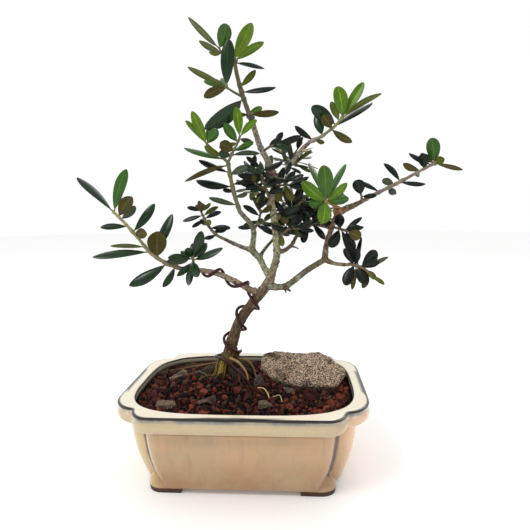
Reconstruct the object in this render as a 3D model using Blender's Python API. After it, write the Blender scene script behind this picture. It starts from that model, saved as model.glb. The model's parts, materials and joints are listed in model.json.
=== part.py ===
"""Olive bonsai in a glazed oblong pot: pot, soil, stone, chips, trunk, boughs, training wire and leaf masses.

Metres, +Z up, +X to the right of the pot's front, +Y to its back. Every size below is in millimetres from the
middle of the pot's footprint at the surface that the pot stands on. An empty carries all pieces and is moved
at the end, so that the middle of the whole plant's box lies over the origin.
"""

import math
import random

import bmesh
import bpy
from mathutils import Matrix, Vector
from mathutils.bvhtree import BVHTree

MM = 0.001
GAP = 0.3
SEED = 4

# Pot: half length, half width, where the corner notch lies, and where the straight sides end.
RIM_HEIGHT = 53.0
RIM = (76.5, 63.0, 61.5, 49.5, 50.0, 29.0)
# The lip, as (height, how far in from the rim's outline), and the heights of the inside wall.
LIP_CURVE = ((42.4, 3.8), (43.8, 1.2), (46.5, 0.0), (52.2, 0.0), (RIM_HEIGHT, 1.6))
INNER_RIM = (68.3, 55.3)
INNER_FLOOR = (52.0, 40.0)
INNER_ROUNDNESS = 3.6
INNER_HEIGHTS = (RIM_HEIGHT, 50.5, 36.0, 18.0)
FOOT_HEIGHT = 4.0
FLOOR_TOP = 10.0
# The body under the lip, as (height, how far in from the rim's outline).
BODY_CURVE = ((41.0, 7.2), (33.0, 7.7), (23.0, 9.3), (14.0, 11.8), (7.5, 14.0), (3.2, 15.4))
FOOT_SIZE = (21.5, 16.5)
FOOT_CENTRE = (45.6, 38.2)
DRAIN_RADIUS = 6.0
DRAIN_SPACING = 52.0
ARC_STEPS = 4

# Soil: height at the wall, and the mound that carries the trunk.
SOIL_EDGE = 48.0
MOUND_CENTRE = (-13.0, 10.0)
MOUND_HEIGHT = 11.0
MOUND_SPREAD = 30.0
SOIL_RINGS = 5
# Slab stone: the middle of its top, its tilt about X and Y in degrees, its outline on that slope, and its
# levels as (depth, share of the outline).
STONE_TOP = (35.0, 13.0, 59.5)
STONE_TILT = (19, 3)
STONE_OUTLINE = ((32, 1), (24.5, 11), (13.5, 18.5), (1, 16), (-10, 17), (-18.5, 17.3), (-25.2, 12.5),
                 (-27, 5.5), (-26.3, -4), (-22.5, -8), (-16.7, -14.6), (-6, -18.5), (10.5, -19.3),
                 (24.6, -18), (27, -12.5), (30.8, -6))
STONE_LEVELS = ((9.5, 0.78), (6.0, 0.95), (2.4, 1.0), (0.7, 0.97), (0.0, 0.9))
# Chips: size, place (their height is the soil's), turn about X, Y and Z in degrees.
CHIPS = (
    ((15, 10, 4.5), (-50, 15.5), (10, 0, 20)),
    ((14, 11, 5), (-21, -29.5), (14, 8, 60)),
    ((9, 8, 6), (8.6, -3.6), (12, 6, 30)),
    ((14, 8, 3.5), (-46, -33.5), (8, 0, -12)),
    ((10, 5, 3), (28, -11), (6, 10, -12)),
    ((10, 8, 4.5), (14, -35), (28, 4, 50)),
)
# Coarse grit on the soil: tries, half sizes, how far each grain is lifted out of the soil and its stretch.
GRIT_SEED = 11
GRIT_TRIES = 415
GRIT_SIZE = (1.9, 3.2)
GRIT_LIFT = 0.25
GRIT_STRETCH = (1.15, 0.95, 0.85)

# Trunk and boughs: points on the centre line, radii at foot and tip, and the limbs that carry each one.
TRUNK = ((-14.0, 9.5, 57.4), (-13.4, 9.0, 66), (-10.5, 8.3, 77), (-5, 7.5, 92), (3.3, 6.7, 103.4),
         (10.4, 5.8, 112.5), (15.2, 5.0, 119.5))
TRUNK_RADII = (8.6, 4.9, 4.3, 3.9, 3.7, 3.7, 3.3)
LIMBS = {
    "leader": (((15.0, 5, 118.6), (17.4, 5, 126), (19.6, 5, 133), (20.2, 5, 141), (19, 5, 154), (17.9, 5, 165),
                (16.7, 5, 172), (18.3, 5, 180), (17.6, 5, 188), (13.8, 5, 198.5), (10.2, 5, 205),
                (6.3, 5, 217), (4.1, 5, 223.6)), 2.5, 1.75, ("trunk",)),
    "bough_left": (((10, 5.2, 110.4), (3.1, 2.2, 113.6), (-3.8, -0.5, 118), (-15, -3.2, 124), (-23.6, -6, 127),
                    (-31.4, -8.6, 128.2), (-39.8, -11.3, 129.5)), 2.3, 1.5, ("trunk",)),
    "bough_right_lower": (((14.6, 5, 116.4), (20.4, 6, 115), (27.3, 7.5, 116.2), (39, 9.3, 125),
                           (47.5, 10.8, 130.2), (53.3, 12, 133.6)), 2.3, 1.9, ("trunk", "leader")),
    "bough_right_upper": (((51.6, 12, 132.8), (53.2, 13.4, 144), (56, 15, 152), (59.3, 16.4, 160.5),
                           (64, 17.8, 165), (73, 19.3, 169), (85.6, 20.4, 175.6)), 1.9, 1.3,
                          ("bough_right_lower",)),
    "bough_right_low": (((52, 12, 132.4), (57.5, 9, 130.3), (63, 6.7, 129.8), (67.7, 5.1, 130)), 1.5, 1.15,
                        ("bough_right_lower", "bough_right_upper")),
    "bough_left_upper": (((16, 5, 121.5), (12.4, 5, 127), (8.8, 5, 134), (4.2, 4.6, 139.5), (4.8, 3.2, 145),
                          (5.4, 1.6, 151.5), (3.2, -0.6, 157.5), (-0.6, -2.2, 162), (-2.8, -3.1, 164.8)),
                         2.2, 1.45, ("trunk", "leader", "bough_right_lower")),
    "bough_left_inner": (((4.6, 4.6, 139.3), (-2, 8.6, 141), (-8, 12, 143), (-14.7, 15, 145.8)), 1.6, 1.15,
                         ("bough_left_upper",)),
    "bough_middle": (((8.8, 5, 134), (10.2, 10, 137.4), (13, 15, 141), (16.6, 19.4, 145)), 1.3, 0.95,
                     ("bough_left_upper",)),
    "bough_middle_right": (((19.8, 5, 139.6), (24, 7.4, 138.7), (29.6, 9.8, 142.4), (33, 13, 148),
                            (37, 17, 151)), 1.6, 1.0, ("leader",)),
    "bough_upper_right": (((17.8, 5, 185), (23, 5.6, 188.8), (28, 6.1, 193.4), (33.4, 6.6, 200),
                           (37.3, 7.2, 204.8), (41.4, 8, 208.6)), 1.7, 1.3, ("leader",)),
    "bough_back_low": (((18.6, 5, 158.5), (20, 19, 160), (24, 34, 162), (27, 47, 166)), 1.6, 1.1,
                       ("leader",)),
    "bough_back_middle": (((17.4, 5, 168), (13, 18, 170), (8, 31, 173), (5, 42, 177)), 1.5, 1.0,
                          ("leader",)),
    "bough_back_upper": (((17.8, 5, 187.5), (20, 16, 188), (24, 27, 190), (27, 36, 194)), 1.3, 0.95,
                         ("leader", "bough_upper_right")),
    "bough_back_right": (((56.4, 15, 152.8), (53, 25, 154), (47.5, 34, 155), (45, 42, 158)), 1.4, 0.95,
                         ("bough_right_upper",)),
}
LIMB_STEP = 7.0
LIMB_SIDES = 8
COLLAR = 1.3
COLLAR_LENGTH = 3.5
# Pruning knobs: the limb, the height of its middle, how much thicker the limb is there, and its length.
KNOBS = {
    "leader": ((189.0, 1.45, 4.5),),
    "bough_right_upper": ((164.5, 1.5, 4.5),),
    "bough_left_upper": ((139.5, 1.2, 4.0),),
}
# Surface roots, as (heading in degrees, reach, foot radius), and how deep the trunk's flat cut lies.
ROOTS = ((205, 21, 2.6), (168, 24, 2.2), (128, 17, 2.0), (70, 15, 2.0), (8, 15, 2.4), (300, 18, 2.6),
         (252, 15, 2.1))
ROOT_SHARES = (0.0, 0.3, 0.55, 0.8, 1.0)
TRUNK_SINK = 2.2

# Wire: where it leaves the soil, then its coils as (first and last place along the limb, turns, first turn
# in degrees, with 0 on the left of the trunk or under the bough and 90 behind it).
WIRE_RADIUS = 0.95
WIRE_CLEARANCE = 0.35
WIRE_POINTS_PER_TURN = 10
WIRE_START = ((3.2, -6.4, 51.0), (-1.5, -4.6, 57.0), (-8.2, -2.4, 62.5), (-14.0, 0.0, 66.6))
TRUNK_COIL = (0.14, 0.75, 2.9, 0.0)
BOUGH_COIL = (0.17, 0.76, 2.15, 50.0)
PUSH_ROUNDS = 12
PUSH_REACH = 3.0

# Leaf masses. Each is a list of shoots, the first one its stem: points on the stem, radii, and leaves.
# A leaf is (place along the stem 0-1, bearing seen from the front in degrees from +X, lean towards the
# front in degrees, length, width).
SHOWN_MASSES = {
    "leaves_top": (
        (((4.0, 5, 224), (0, 5, 235), (-4, 5, 249), (-6, 5, 260)), 1.5, 0.8, (
            (0.35, 225, 15, 33, 7.2), (0.06, 3, 5, 19, 4.6), (0.1, 28, -40, 12, 4), (0.06, 192, 24, 17, 4),
            (0.46, 6, 4, 22, 3.6), (0.55, 48, -12, 15, 4.4), (0.95, 345, 10, 20, 3), (0.98, 34, -15, 23, 5.4),
            (0.99, 60, 10, 24, 8.4), (0.97, 106, -10, 15, 6))),
        (((-1.0, 5, 237), (-6, 0, 239), (-10, -4, 241)), 0.9, 0.6, (
            (0.85, 153, 10, 28, 4), (0.95, 158, -25, 19, 5), (0.97, 205, 20, 16, 6), (0.9, 122, -50, 18, 5),
            (0.99, 86, 5, 28, 8.5))),
        (((-6.0, 5, 258), (-12, 3, 262), (-15, 1, 266)), 0.8, 0.6, (
            (0.97, 135, 0, 27, 4.2), (0.94, 68, 20, 15, 9), (0.6, 152, 10, 17, 4), (0.7, 165, -35, 12, 3)))),
    "leaves_left_upper": (
        (((-3.0, -3.2, 165.2), (-5, -5, 172), (-6.6, -6.5, 179), (-8, -8.3, 187), (-9, -10, 196)), 1.4, 1.1, (
            (0.12, 165, 0, 19, 3.5), (0.3, 15, -30, 9, 3), (0.4, 170, -20, 8, 3), (0.5, 170, 5, 23, 5),
            (0.78, 157, 0, 21, 3.6), (0.93, 202, 10, 29, 3.6), (0.55, 12, -25, 18, 4), (0.75, 20, 20, 13, 5))),
        (((-9.0, -10, 195), (-15, -12, 200.5), (-21.5, -14, 206)), 0.9, 0.6, (
            (0.98, 132, 0, 19, 3.6), (0.97, 113, 10, 21, 6), (0.96, 82, -15, 18, 3.2), (0.98, 48, 25, 12, 6),
            (0.3, 148, 30, 13, 4), (0.15, 163, -5, 27, 3.6))),
        (((-9.0, -10, 195), (-5.6, -9.4, 202), (-3, -8.6, 207), (-1.6, -8, 211)), 0.9, 0.6, (
            (0.97, 96, 0, 18, 6), (0.98, 45, -12, 15, 4.4), (0.75, 125, 12, 14, 6), (0.75, 190, -25, 14, 4),
            (0.42, 150, 40, 11, 7.5), (0.24, 172, 40, 9, 5), (0.4, 25, -10, 14, 4), (0.25, 2, 10, 18, 3.2),
            (0.9, 340, -30, 10, 4)))),
    "leaves_left": (
        (((-40.4, -11.5, 129.7), (-49.2, -14, 133.6), (-57.6, -17, 140.5), (-64.2, -19, 149.4), (-71, -23, 159),
          (-76.5, -26, 165.7)), 1.35, 0.7, (
            (0.99, 136, 0, 30, 4.4), (0.99, 69, 5, 27, 6.6), (0.92, 47, 20, 17, 7.6), (0.88, 46, -25, 12, 5),
            (0.78, 181, 15, 16, 3.8), (0.7, 52, -5, 22, 5.4), (0.68, 2, 40, 14, 6.6), (0.49, 179, -5, 23, 3),
            (0.41, 184, 15, 34, 4.8), (0.36, 65, -10, 28, 6.2), (0.3, 79, 25, 19, 12), (0.2, 9, 12, 17, 5.6),
            (0.16, 210, 15, 27, 6.9), (0.06, 240, 16, 15, 4.6)),),),
    "leaves_left_low": (
        (((-32.5, -9.8, 128.7), (-31.4, -13.6, 133), (-31, -17, 138)), 0.9, 0.6, (
            (0.9, 68, 10, 18, 6.4), (0.84, 48, -18, 13, 5.2), (0.72, 22, 8, 21, 4.6), (0.92, 158, -12, 9, 3.4),
            (0.86, 112, 45, 10, 5), (0.98, 96, -30, 9, 3.8), (0.6, 268, 44, 18, 4.6), (0.66, 303, 55, 17, 6.2),
            (0.6, 222, 34, 14, 4), (0.8, 172, 40, 17, 4.4)),),),
    "leaves_left_inner": (
        (((-15.0, 15.2, 146), (-22, 20, 149), (-28, 24, 155), (-32, 28, 161), (-35, 33, 166)), 1.1, 0.6, (
            (0.98, 62, 60, 12, 8), (0.97, 165, 20, 10, 3.4), (0.95, 40, -5, 9, 3), (0.8, 32, -20, 13, 3.4),
            (0.72, 22, 0, 13, 3.6), (0.82, 195, 0, 15, 3.4), (0.7, 212, 30, 11, 3), (0.68, 330, 50, 9, 5),
            (0.48, 0, 10, 15, 4), (0.38, 10, -40, 12, 3.4), (0.3, 60, -50, 9, 3.4), (0.26, 195, 20, 9, 3),
            (0.88, 110, -35, 12, 4), (0.55, 150, -45, 12, 4)),),),
    "leaves_upper_right": (
        (((41.8, 8, 209), (48.5, 8.4, 211.8), (53, 9, 215), (58, 9.5, 219), (62.6, 10, 224.6)), 1.25, 0.7, (
            (0.86, 112, -10, 14, 5), (0.98, 101, 10, 19, 9), (0.99, 66, -28, 15, 4), (0.98, 58, 0, 25, 6.4),
            (0.94, 30, 5, 29, 4), (0.66, 33, -16, 32, 3.4), (0.74, 146, 18, 20, 8.4), (0.62, 135, 48, 14, 7),
            (0.32, 102, -15, 16, 6.6), (0.6, 326, 10, 16, 5), (0.12, 338, 20, 7, 3), (0.08, 142, 0, 15, 4)),),),
    "leaves_right_tip": (
        (((86.0, 20.5, 175.8), (101, 22, 183), (115, 23.5, 190.5), (126, 25, 196)), 1.25, 0.8, (
            (0.98, 102, 12, 17, 9), (0.97, 135, -35, 13, 4), (0.92, 152, 0, 17, 3.6), (0.8, 100, 32, 11, 8),
            (0.74, 158, 10, 13, 4.6), (0.98, 30, 50, 8, 5.6), (0.98, 346, 0, 19, 3.2), (0.4, 135, 10, 17, 4),
            (0.3, 150, -55, 13, 5), (0.38, 355, 10, 17, 3.4), (0.06, 156, 15, 17, 3.2),
            (0.62, 20, -60, 14, 5), (0.2, 330, -50, 13, 5)),),),
    "leaves_rosette": (
        (((63.4, 17.2, 165.4), (57.5, 9.4, 168.4), (51, 2, 171)), 1.1, 0.9, (
            (0.97, 94, 10, 24, 11), (0.85, 114, -22, 31, 4.2), (0.85, 64, -22, 30, 4.2), (0.95, 143, 15, 22, 7),
            (0.93, 44, 18, 17, 6), (0.9, 176, 25, 14, 5.6), (0.9, 8, 25, 14, 5.6), (0.99, 262, 28, 16, 9.5),
            (0.55, 50, -45, 16, 6)),),),
    "leaves_right_middle": (
        (((58.6, 13.4, 153.6), (63, 11, 152.5), (67, 8, 151)), 0.9, 0.6, (
            (0.7, 38, 0, 14, 3.4), (0.6, 8, 14, 12, 4), (0.95, 335, 32, 10, 7.5), (0.4, 296, 14, 23, 6),
            (0.35, 100, 45, 14, 6.6), (0.75, 296, -25, 17, 5.6), (0.85, 12, -30, 14, 3.4),
            (0.3, 238, 38, 17, 7)),),),
    "leaves_right_low": (
        (((68.1, 4.9, 130.2), (72.6, 2, 129.3), (77.3, -1, 127), (80.7, -4, 123)), 1.1, 0.6, (
            (0.16, 243, 20, 15, 7.2), (0.3, 295, 22, 13, 7.6), (0.26, 262, -12, 17, 3.4), (0.64, 318, 12, 9, 4),
            (0.45, 52, 18, 15, 7.6), (0.38, 20, 36, 15, 5.4), (0.3, 80, -24, 20, 3.2), (0.55, 20, -28, 21, 3.4),
            (0.95, 327, 0, 10, 3), (0.14, 122, 20, 14, 5.2), (0.22, 92, 34, 14, 5.8), (0.73, 262, -34, 15, 4.6)),),),
    "leaves_right_bud": (
        (((76.1, 17.5, 171.4), (75.9, 15.4, 173.6), (75.1, 13.6, 175.6)), 0.9, 0.7, (
            (0.8, 110, 18, 11, 8.2), (0.55, 4, 20, 10, 3.4)),),),
}
# Masses that follow the growing rule alone: stem points, leaf pairs, side twigs, leaf length.
RULE_MASSES = {
    "leaves_fork": (((5.4, 1.6, 153), (8.5, 4, 159), (10, 6.5, 166)), 3, 1, 13.0),
    "leaves_leader_twig": (((16.8, 4.6, 171.5), (13.4, 2, 179), (10.8, 0, 191)), 4, 2, 14.0),
    "leaves_leader_knob": (((18.4, 4.6, 178.6), (22, 1, 181), (27, -1, 181)), 2, 1, 13.5),
    "leaves_leader_right": (((11.4, 4.8, 203), (16.4, 2.4, 205.6), (20, 3, 207)), 2, 0, 13.0),
    "leaves_centre_low": (((20, 5, 147), (26, 3.5, 152), (31, 3, 155)), 3, 1, 13.0),
    "leaves_centre": (((18.4, 5, 162), (27, 8, 165), (35, 12, 169)), 4, 2, 14.0),
    "leaves_centre_right": (((37.3, 17.2, 151.2), (43, 21, 155), (48, 25, 160)), 4, 3, 13.5),
    "leaves_centre_back": (((16.9, 19.7, 145.4), (20, 24, 149), (26, 29, 154)), 3, 1, 13.5),
    "leaves_back_low": (((27.1, 47.5, 166.3), (28, 55, 168), (27, 62, 173)), 3, 3, 15.0),
    "leaves_back_middle": (((4.9, 42.5, 177.4), (3, 50, 182), (3, 57, 189)), 3, 3, 15.0),
    "leaves_back_upper": (((27.2, 36.4, 194.4), (30, 43, 199), (31, 48, 206)), 3, 2, 15.0),
    "leaves_back_right": (((44.9, 42.5, 158.4), (46, 50, 163), (49, 56, 169)), 3, 3, 15.0),
}
# Leaf: thickness as a share of length, half its root's height, and where its breadth lies along it.
LEAF_THICKNESS = 0.03
LEAF_ROOT = 0.35
LEAF_BREADTH = 0.45
LEAF_SHOULDERS = ((0.3, 0.86), (0.68, 0.92))
LEAF_CLEARANCE = 0.45
SMALL_LEAF = 17.5
LEAF_CURL = 0.10
SPLAY_FOOT = 68.0
SPLAY_TIP = 38.0
RULE_LEAF_RATIO = 0.36
# Side twigs: length as a share of the stem's, turn from one to the next, and pairs of leaves on each.
TWIG_SHARE = 0.55
TWIG_TURN = 137.5
TWIG_PAIRS = 2

COLLECTION = "olive_bonsai"
COLOURS = {
    "glaze": ((0.74, 0.66, 0.52), 0.22),
    "soil": ((0.10, 0.035, 0.022), 0.95),
    "stone": ((0.42, 0.38, 0.33), 0.85),
    "chip": ((0.16, 0.10, 0.07), 0.90),
    "bark": ((0.20, 0.16, 0.11), 0.85),
    "wire": ((0.06, 0.025, 0.025), 0.45),
    "leaf": ((0.035, 0.085, 0.030), 0.45),
}


def clear_scene():
    for thing in list(bpy.data.objects):
        bpy.data.objects.remove(thing, do_unlink=True)


def new_collection(name, hidden=False):
    made = bpy.data.collections.new(name)
    bpy.context.scene.collection.children.link(made)
    made.hide_render = hidden
    return made


def new_object(name, mesh, collection):
    made = bpy.data.objects.new(name, mesh)
    collection.objects.link(made)
    return made


def finish(piece, kind):
    """Gives a piece its own material and hangs it on the stand."""
    colour, roughness = COLOURS[kind]
    made = bpy.data.materials.new(f"{piece.name}_{kind}")
    made.use_nodes = True
    shader = made.node_tree.nodes["Principled BSDF"]
    shader.inputs["Base Color"].default_value = (*colour, 1.0)
    shader.inputs["Roughness"].default_value = roughness
    piece.data.materials.clear()
    piece.data.materials.append(made)
    piece.data.shade_smooth()
    piece.data.set_sharp_from_angle(angle=math.radians(35))
    piece.parent = stand


def mesh_from(name, points, faces):
    """A mesh from points in millimetres, with its faces turned outwards."""
    mesh = bpy.data.meshes.new(name)
    mesh.from_pydata([tuple(Vector(p) * MM) for p in points], [], faces)
    shape = bmesh.new()
    shape.from_mesh(mesh)
    bmesh.ops.recalc_face_normals(shape, faces=shape.faces)
    shape.to_mesh(mesh)
    shape.free()
    return mesh


def largest_body(mesh):
    """Keeps a mesh's largest body: a Boolean leaves scraps, and the skins of hollows that it sealed."""
    shape = bmesh.new()
    shape.from_mesh(mesh)
    bmesh.ops.dissolve_degenerate(shape, dist=1e-7, edges=shape.edges)
    left = set(shape.verts)
    bodies = []
    while left:
        body, edge = set(), [left.pop()]
        while edge:
            vert = edge.pop()
            body.add(vert)
            for link in vert.link_edges:
                other = link.other_vert(vert)
                if other in left:
                    left.discard(other)
                    edge.append(other)
        bodies.append(body)
    bodies.sort(key=len, reverse=True)
    for body in bodies[1:]:
        bmesh.ops.delete(shape, geom=list(body), context="VERTS")
    shape.to_mesh(mesh)
    shape.free()


def bake_modifiers(piece):
    """Replaces a piece's mesh with what its modifiers make of it."""
    graph = bpy.context.evaluated_depsgraph_get()
    baked = bpy.data.meshes.new_from_object(piece.evaluated_get(graph))
    piece.modifiers.clear()
    piece.data = baked


def boolean(piece, other, operation, solver="EXACT"):
    made = piece.modifiers.new(operation.lower(), "BOOLEAN")
    made.operation = operation
    made.solver = solver
    if isinstance(other, bpy.types.Collection):
        made.operand_type = "COLLECTION"
        made.collection = other
    else:
        made.object = other


def swollen(piece, by):
    """A hidden copy of a piece with each point moved out along its normal, as a cutter that leaves a gap."""
    mesh = piece.data.copy()
    normals = [vert.normal.copy() for vert in mesh.vertices]
    for vert, normal in zip(mesh.vertices, normals):
        vert.co += normal * by * MM
    made = new_object(f"{piece.name}_cutter", mesh, cutters)
    made.hide_render = True
    made.display_type = "WIRE"
    return made


def cut_by(piece, others, by=GAP + 0.08):
    for other in others:
        boolean(piece, swollen(other, by), "DIFFERENCE")
    bake_modifiers(piece)
    largest_body(piece.data)


def smooth_path(knots, step):
    """Points about a step apart on a Catmull-Rom curve through the knots, and how far along each one is."""
    ends = [Vector(k) for k in knots]
    ends = [2 * ends[0] - ends[1], *ends, 2 * ends[-1] - ends[-2]]
    points = [ends[1]]
    places = [0.0]
    for i in range(1, len(ends) - 2):
        before, start, end, after = ends[i - 1:i + 3]
        count = max(1, round((end - start).length / step))
        for k in range(1, count + 1):
            t = k / count
            bend = (2 * before - 5 * start + 4 * end - after) * t ** 2
            bend += (3 * start - before - 3 * end + after) * t ** 3
            points.append(0.5 * (2 * start + (end - before) * t + bend))
            places.append((i - 1 + t) / (len(ends) - 3))
    return points, places


def between(values, place):
    """The value at a place from 0 to 1 along a list of values."""
    spot = place * (len(values) - 1)
    low = min(int(spot), len(values) - 2)
    return values[low] + (values[low + 1] - values[low]) * (spot - low)


# Pot and soil

def lobed_outline(inset, outline=RIM):
    """The pot's plan: long and short sides that round in to a notch at each corner, going round once."""
    long_half, short_half, notch_x, notch_y, flat_x, flat_y = outline
    long_half, short_half = long_half - inset, short_half - inset
    notch_x, notch_y = notch_x - 0.85 * inset, notch_y - 0.75 * inset
    flat_x, flat_y = flat_x - 0.55 * inset, flat_y - 0.45 * inset
    quarter = [(long_half, 0.0)]
    for k in range(ARC_STEPS + 1):
        turn = math.radians(90 * k / ARC_STEPS)
        quarter.append((notch_x + (long_half - notch_x) * math.cos(turn),
                        flat_y + (notch_y - flat_y) * math.sin(turn)))
    for k in range(1, ARC_STEPS + 1):
        turn = math.radians(90 * k / ARC_STEPS)
        quarter.append((flat_x + (notch_x - flat_x) * math.cos(turn),
                        notch_y + (short_half - notch_y) * math.sin(turn)))
    mirrored = [(-x, y) for x, y in reversed(quarter)]
    half = quarter + [(0.0, short_half)] + mirrored
    return half + [(-x, -y) for x, y in half[1:-1]]


def inner_outline(height, clearance=0.0):
    """The pot's inner plan at a height."""
    rise = min(1.0, (height - FLOOR_TOP) / (RIM_HEIGHT - FLOOR_TOP))
    spread = math.sin(rise * math.pi / 2) ** 0.8
    half_x = INNER_FLOOR[0] + (INNER_RIM[0] - INNER_FLOOR[0]) * spread - clearance
    half_y = INNER_FLOOR[1] + (INNER_RIM[1] - INNER_FLOOR[1]) * spread - clearance
    points = []
    for x, y in lobed_outline(0.0):
        spread = abs(x / half_x) ** INNER_ROUNDNESS + abs(y / half_y) ** INNER_ROUNDNESS
        reach = spread ** (-1 / INNER_ROUNDNESS)
        points.append((reach * x, reach * y))
    return points


def loft(name, rings, collection):
    """A closed skin over rings of equal count, with both ends filled."""
    points = [point for ring in rings for point in ring]
    count = len(rings[0])
    faces = []
    for i in range(len(rings) - 1):
        for k in range(count):
            low, high, beside = i * count, (i + 1) * count, (k + 1) % count
            faces.append((low + k, low + beside, high + beside, high + k))
    faces += [tuple(range(count)), tuple(range((len(rings) - 1) * count, len(rings) * count))]
    return new_object(name, mesh_from(name, points, faces), collection)


def add_solid(name, size, place, collection):
    """A box in millimetres with its upright edges rounded."""
    mesh = bpy.data.meshes.new(name)
    shape = bmesh.new()
    bmesh.ops.create_cube(shape, size=1.0)
    bmesh.ops.scale(shape, vec=Vector(size) * MM, verts=shape.verts)
    upright = [edge for edge in shape.edges if abs((edge.verts[0].co - edge.verts[1].co).z) > 0.5 * size[2] * MM]
    bmesh.ops.bevel(shape, geom=upright, offset=0.45 * min(size[:2]) * MM, segments=3, profile=0.5,
                    affect="EDGES")
    bmesh.ops.translate(shape, vec=Vector(place) * MM, verts=shape.verts)
    shape.to_mesh(mesh)
    shape.free()
    return new_object(name, mesh, collection)


def make_pot():
    def at(outline, height):
        return [(x, y, height) for x, y in outline]

    outside = [at(lobed_outline(inset), height) for height, inset in (*reversed(BODY_CURVE), *LIP_CURVE)]
    inside = [at(inner_outline(height), height) for height in INNER_HEIGHTS]
    floor = [at([(0.96 * x, 0.96 * y) for x, y in inner_outline(FLOOR_TOP + 1.5)], FLOOR_TOP)]
    pot = loft("pot", outside + inside + floor, nodes)
    parts = bpy.data.collections.new("pot_feet")
    for side_x in (-1, 1):
        for side_y in (-1, 1):
            add_solid("foot", (*FOOT_SIZE, FOOT_HEIGHT + 2.0),
                      (side_x * FOOT_CENTRE[0], side_y * FOOT_CENTRE[1], (FOOT_HEIGHT + 2.0) / 2), parts)
    boolean(pot, parts, "UNION")
    bake_modifiers(pot)
    for foot in list(parts.objects):
        bpy.data.objects.remove(foot, do_unlink=True)
    for side in (-1, 1):
        mesh = bpy.data.meshes.new("drain")
        shape = bmesh.new()
        bmesh.ops.create_cone(shape, cap_ends=True, segments=16, radius1=DRAIN_RADIUS * MM,
                              radius2=DRAIN_RADIUS * MM, depth=30 * MM)
        bmesh.ops.translate(shape, vec=(side * DRAIN_SPACING / 2 * MM, 0, 0), verts=shape.verts)
        shape.to_mesh(mesh)
        shape.free()
        drain = new_object("drain", mesh, cutters)
        drain.hide_render = True
        boolean(pot, drain, "DIFFERENCE")
    bake_modifiers(pot)
    largest_body(pot.data)
    finish(pot, "glaze")
    return pot


def ground(x, y):
    """The soil's height at a place."""
    away = math.hypot(x - MOUND_CENTRE[0], y - MOUND_CENTRE[1])
    edge = max(abs(x) / 66.0, abs(y) / 54.0)
    mound = MOUND_HEIGHT * math.exp(-(away / MOUND_SPREAD) ** 2) * (1 - edge ** 4)
    return SOIL_EDGE + mound + 1.2 * math.sin(0.16 * x + 1.0) * math.sin(0.19 * y) * (1 - edge ** 2)


def make_soil():
    """Fills the pot up to the mound, clear of the walls."""
    levels = (FLOOR_TOP + 2.5, 18.0, 36.0, SOIL_EDGE)
    rings = [[(x, y, z) for x, y in inner_outline(z, GAP + 0.25)] for z in levels]
    rings[0] = [(0.93 * x, 0.93 * y, FLOOR_TOP + GAP) for x, y, _ in rings[0]]
    edge = rings[-1]
    for k in range(1, SOIL_RINGS):
        share = 1 - k / SOIL_RINGS
        ring = [(MOUND_CENTRE[0] * (1 - share) + x * share, MOUND_CENTRE[1] * (1 - share) + y * share)
                for x, y, _ in edge]
        rings.append([(x, y, ground(x, y)) for x, y in ring])
    return loft("soil", rings, nodes)


def grit_grains(clear_of):
    """Coarse grains as (place, half size, turn), kept apart and clear of what stands in the soil."""
    rng = random.Random(GRIT_SEED)
    grains = []
    for _ in range(GRIT_TRIES):
        size = rng.uniform(*GRIT_SIZE)
        x, y = rng.uniform(-INNER_RIM[0], INNER_RIM[0]), rng.uniform(-INNER_RIM[1], INNER_RIM[1])
        turn = rng.uniform(0, 360)
        reach = GRIT_STRETCH[0] * size + GAP
        within = (abs(x) / (INNER_RIM[0] - reach)) ** INNER_ROUNDNESS
        within += (abs(y) / (INNER_RIM[1] - reach)) ** INNER_ROUNDNESS
        place = Vector((x, y, ground(x, y) + GRIT_LIFT * size))
        if within > 1 or min(tree.find_nearest(place)[3] for tree in clear_of) < reach + GAP:
            continue
        if all((place - other).length > reach + GRIT_STRETCH[0] * beside for other, beside, _ in grains):
            grains.append((place, size, turn))
    return grains


def add_grit(soil, clear_of):
    """Fuses the coarse grains to the soil, each a lump half sunk in it."""
    mesh = bpy.data.meshes.new("grit")
    shape = bmesh.new()
    for place, size, turn in grit_grains(clear_of):
        turned = Matrix.Rotation(math.radians(turn), 4, "Z") @ Matrix.Rotation(math.radians(turn), 4, "X")
        bmesh.ops.create_icosphere(shape, subdivisions=1, radius=size * MM,
                                   matrix=Matrix.Translation(place * MM) @ turned
                                   @ Matrix.Diagonal((*GRIT_STRETCH, 1.0)))
    shape.to_mesh(mesh)
    shape.free()
    grit = new_object("grit", mesh, cutters)
    boolean(soil, grit, "UNION")
    bake_modifiers(soil)
    bpy.data.objects.remove(grit, do_unlink=True)
    largest_body(soil.data)


def make_slab():
    """The flat stone that leans on the soil, as a loft between levels of its outline."""
    turn_x, turn_y = (math.radians(tilt) for tilt in STONE_TILT)
    slope = Matrix.Rotation(turn_y, 3, "Y") @ Matrix.Rotation(turn_x, 3, "X")
    rings = [[Vector(STONE_TOP) + slope @ Vector((share * x, share * y, -depth)) for x, y in STONE_OUTLINE]
             for depth, share in STONE_LEVELS]
    return loft("stone", rings, nodes)


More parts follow.
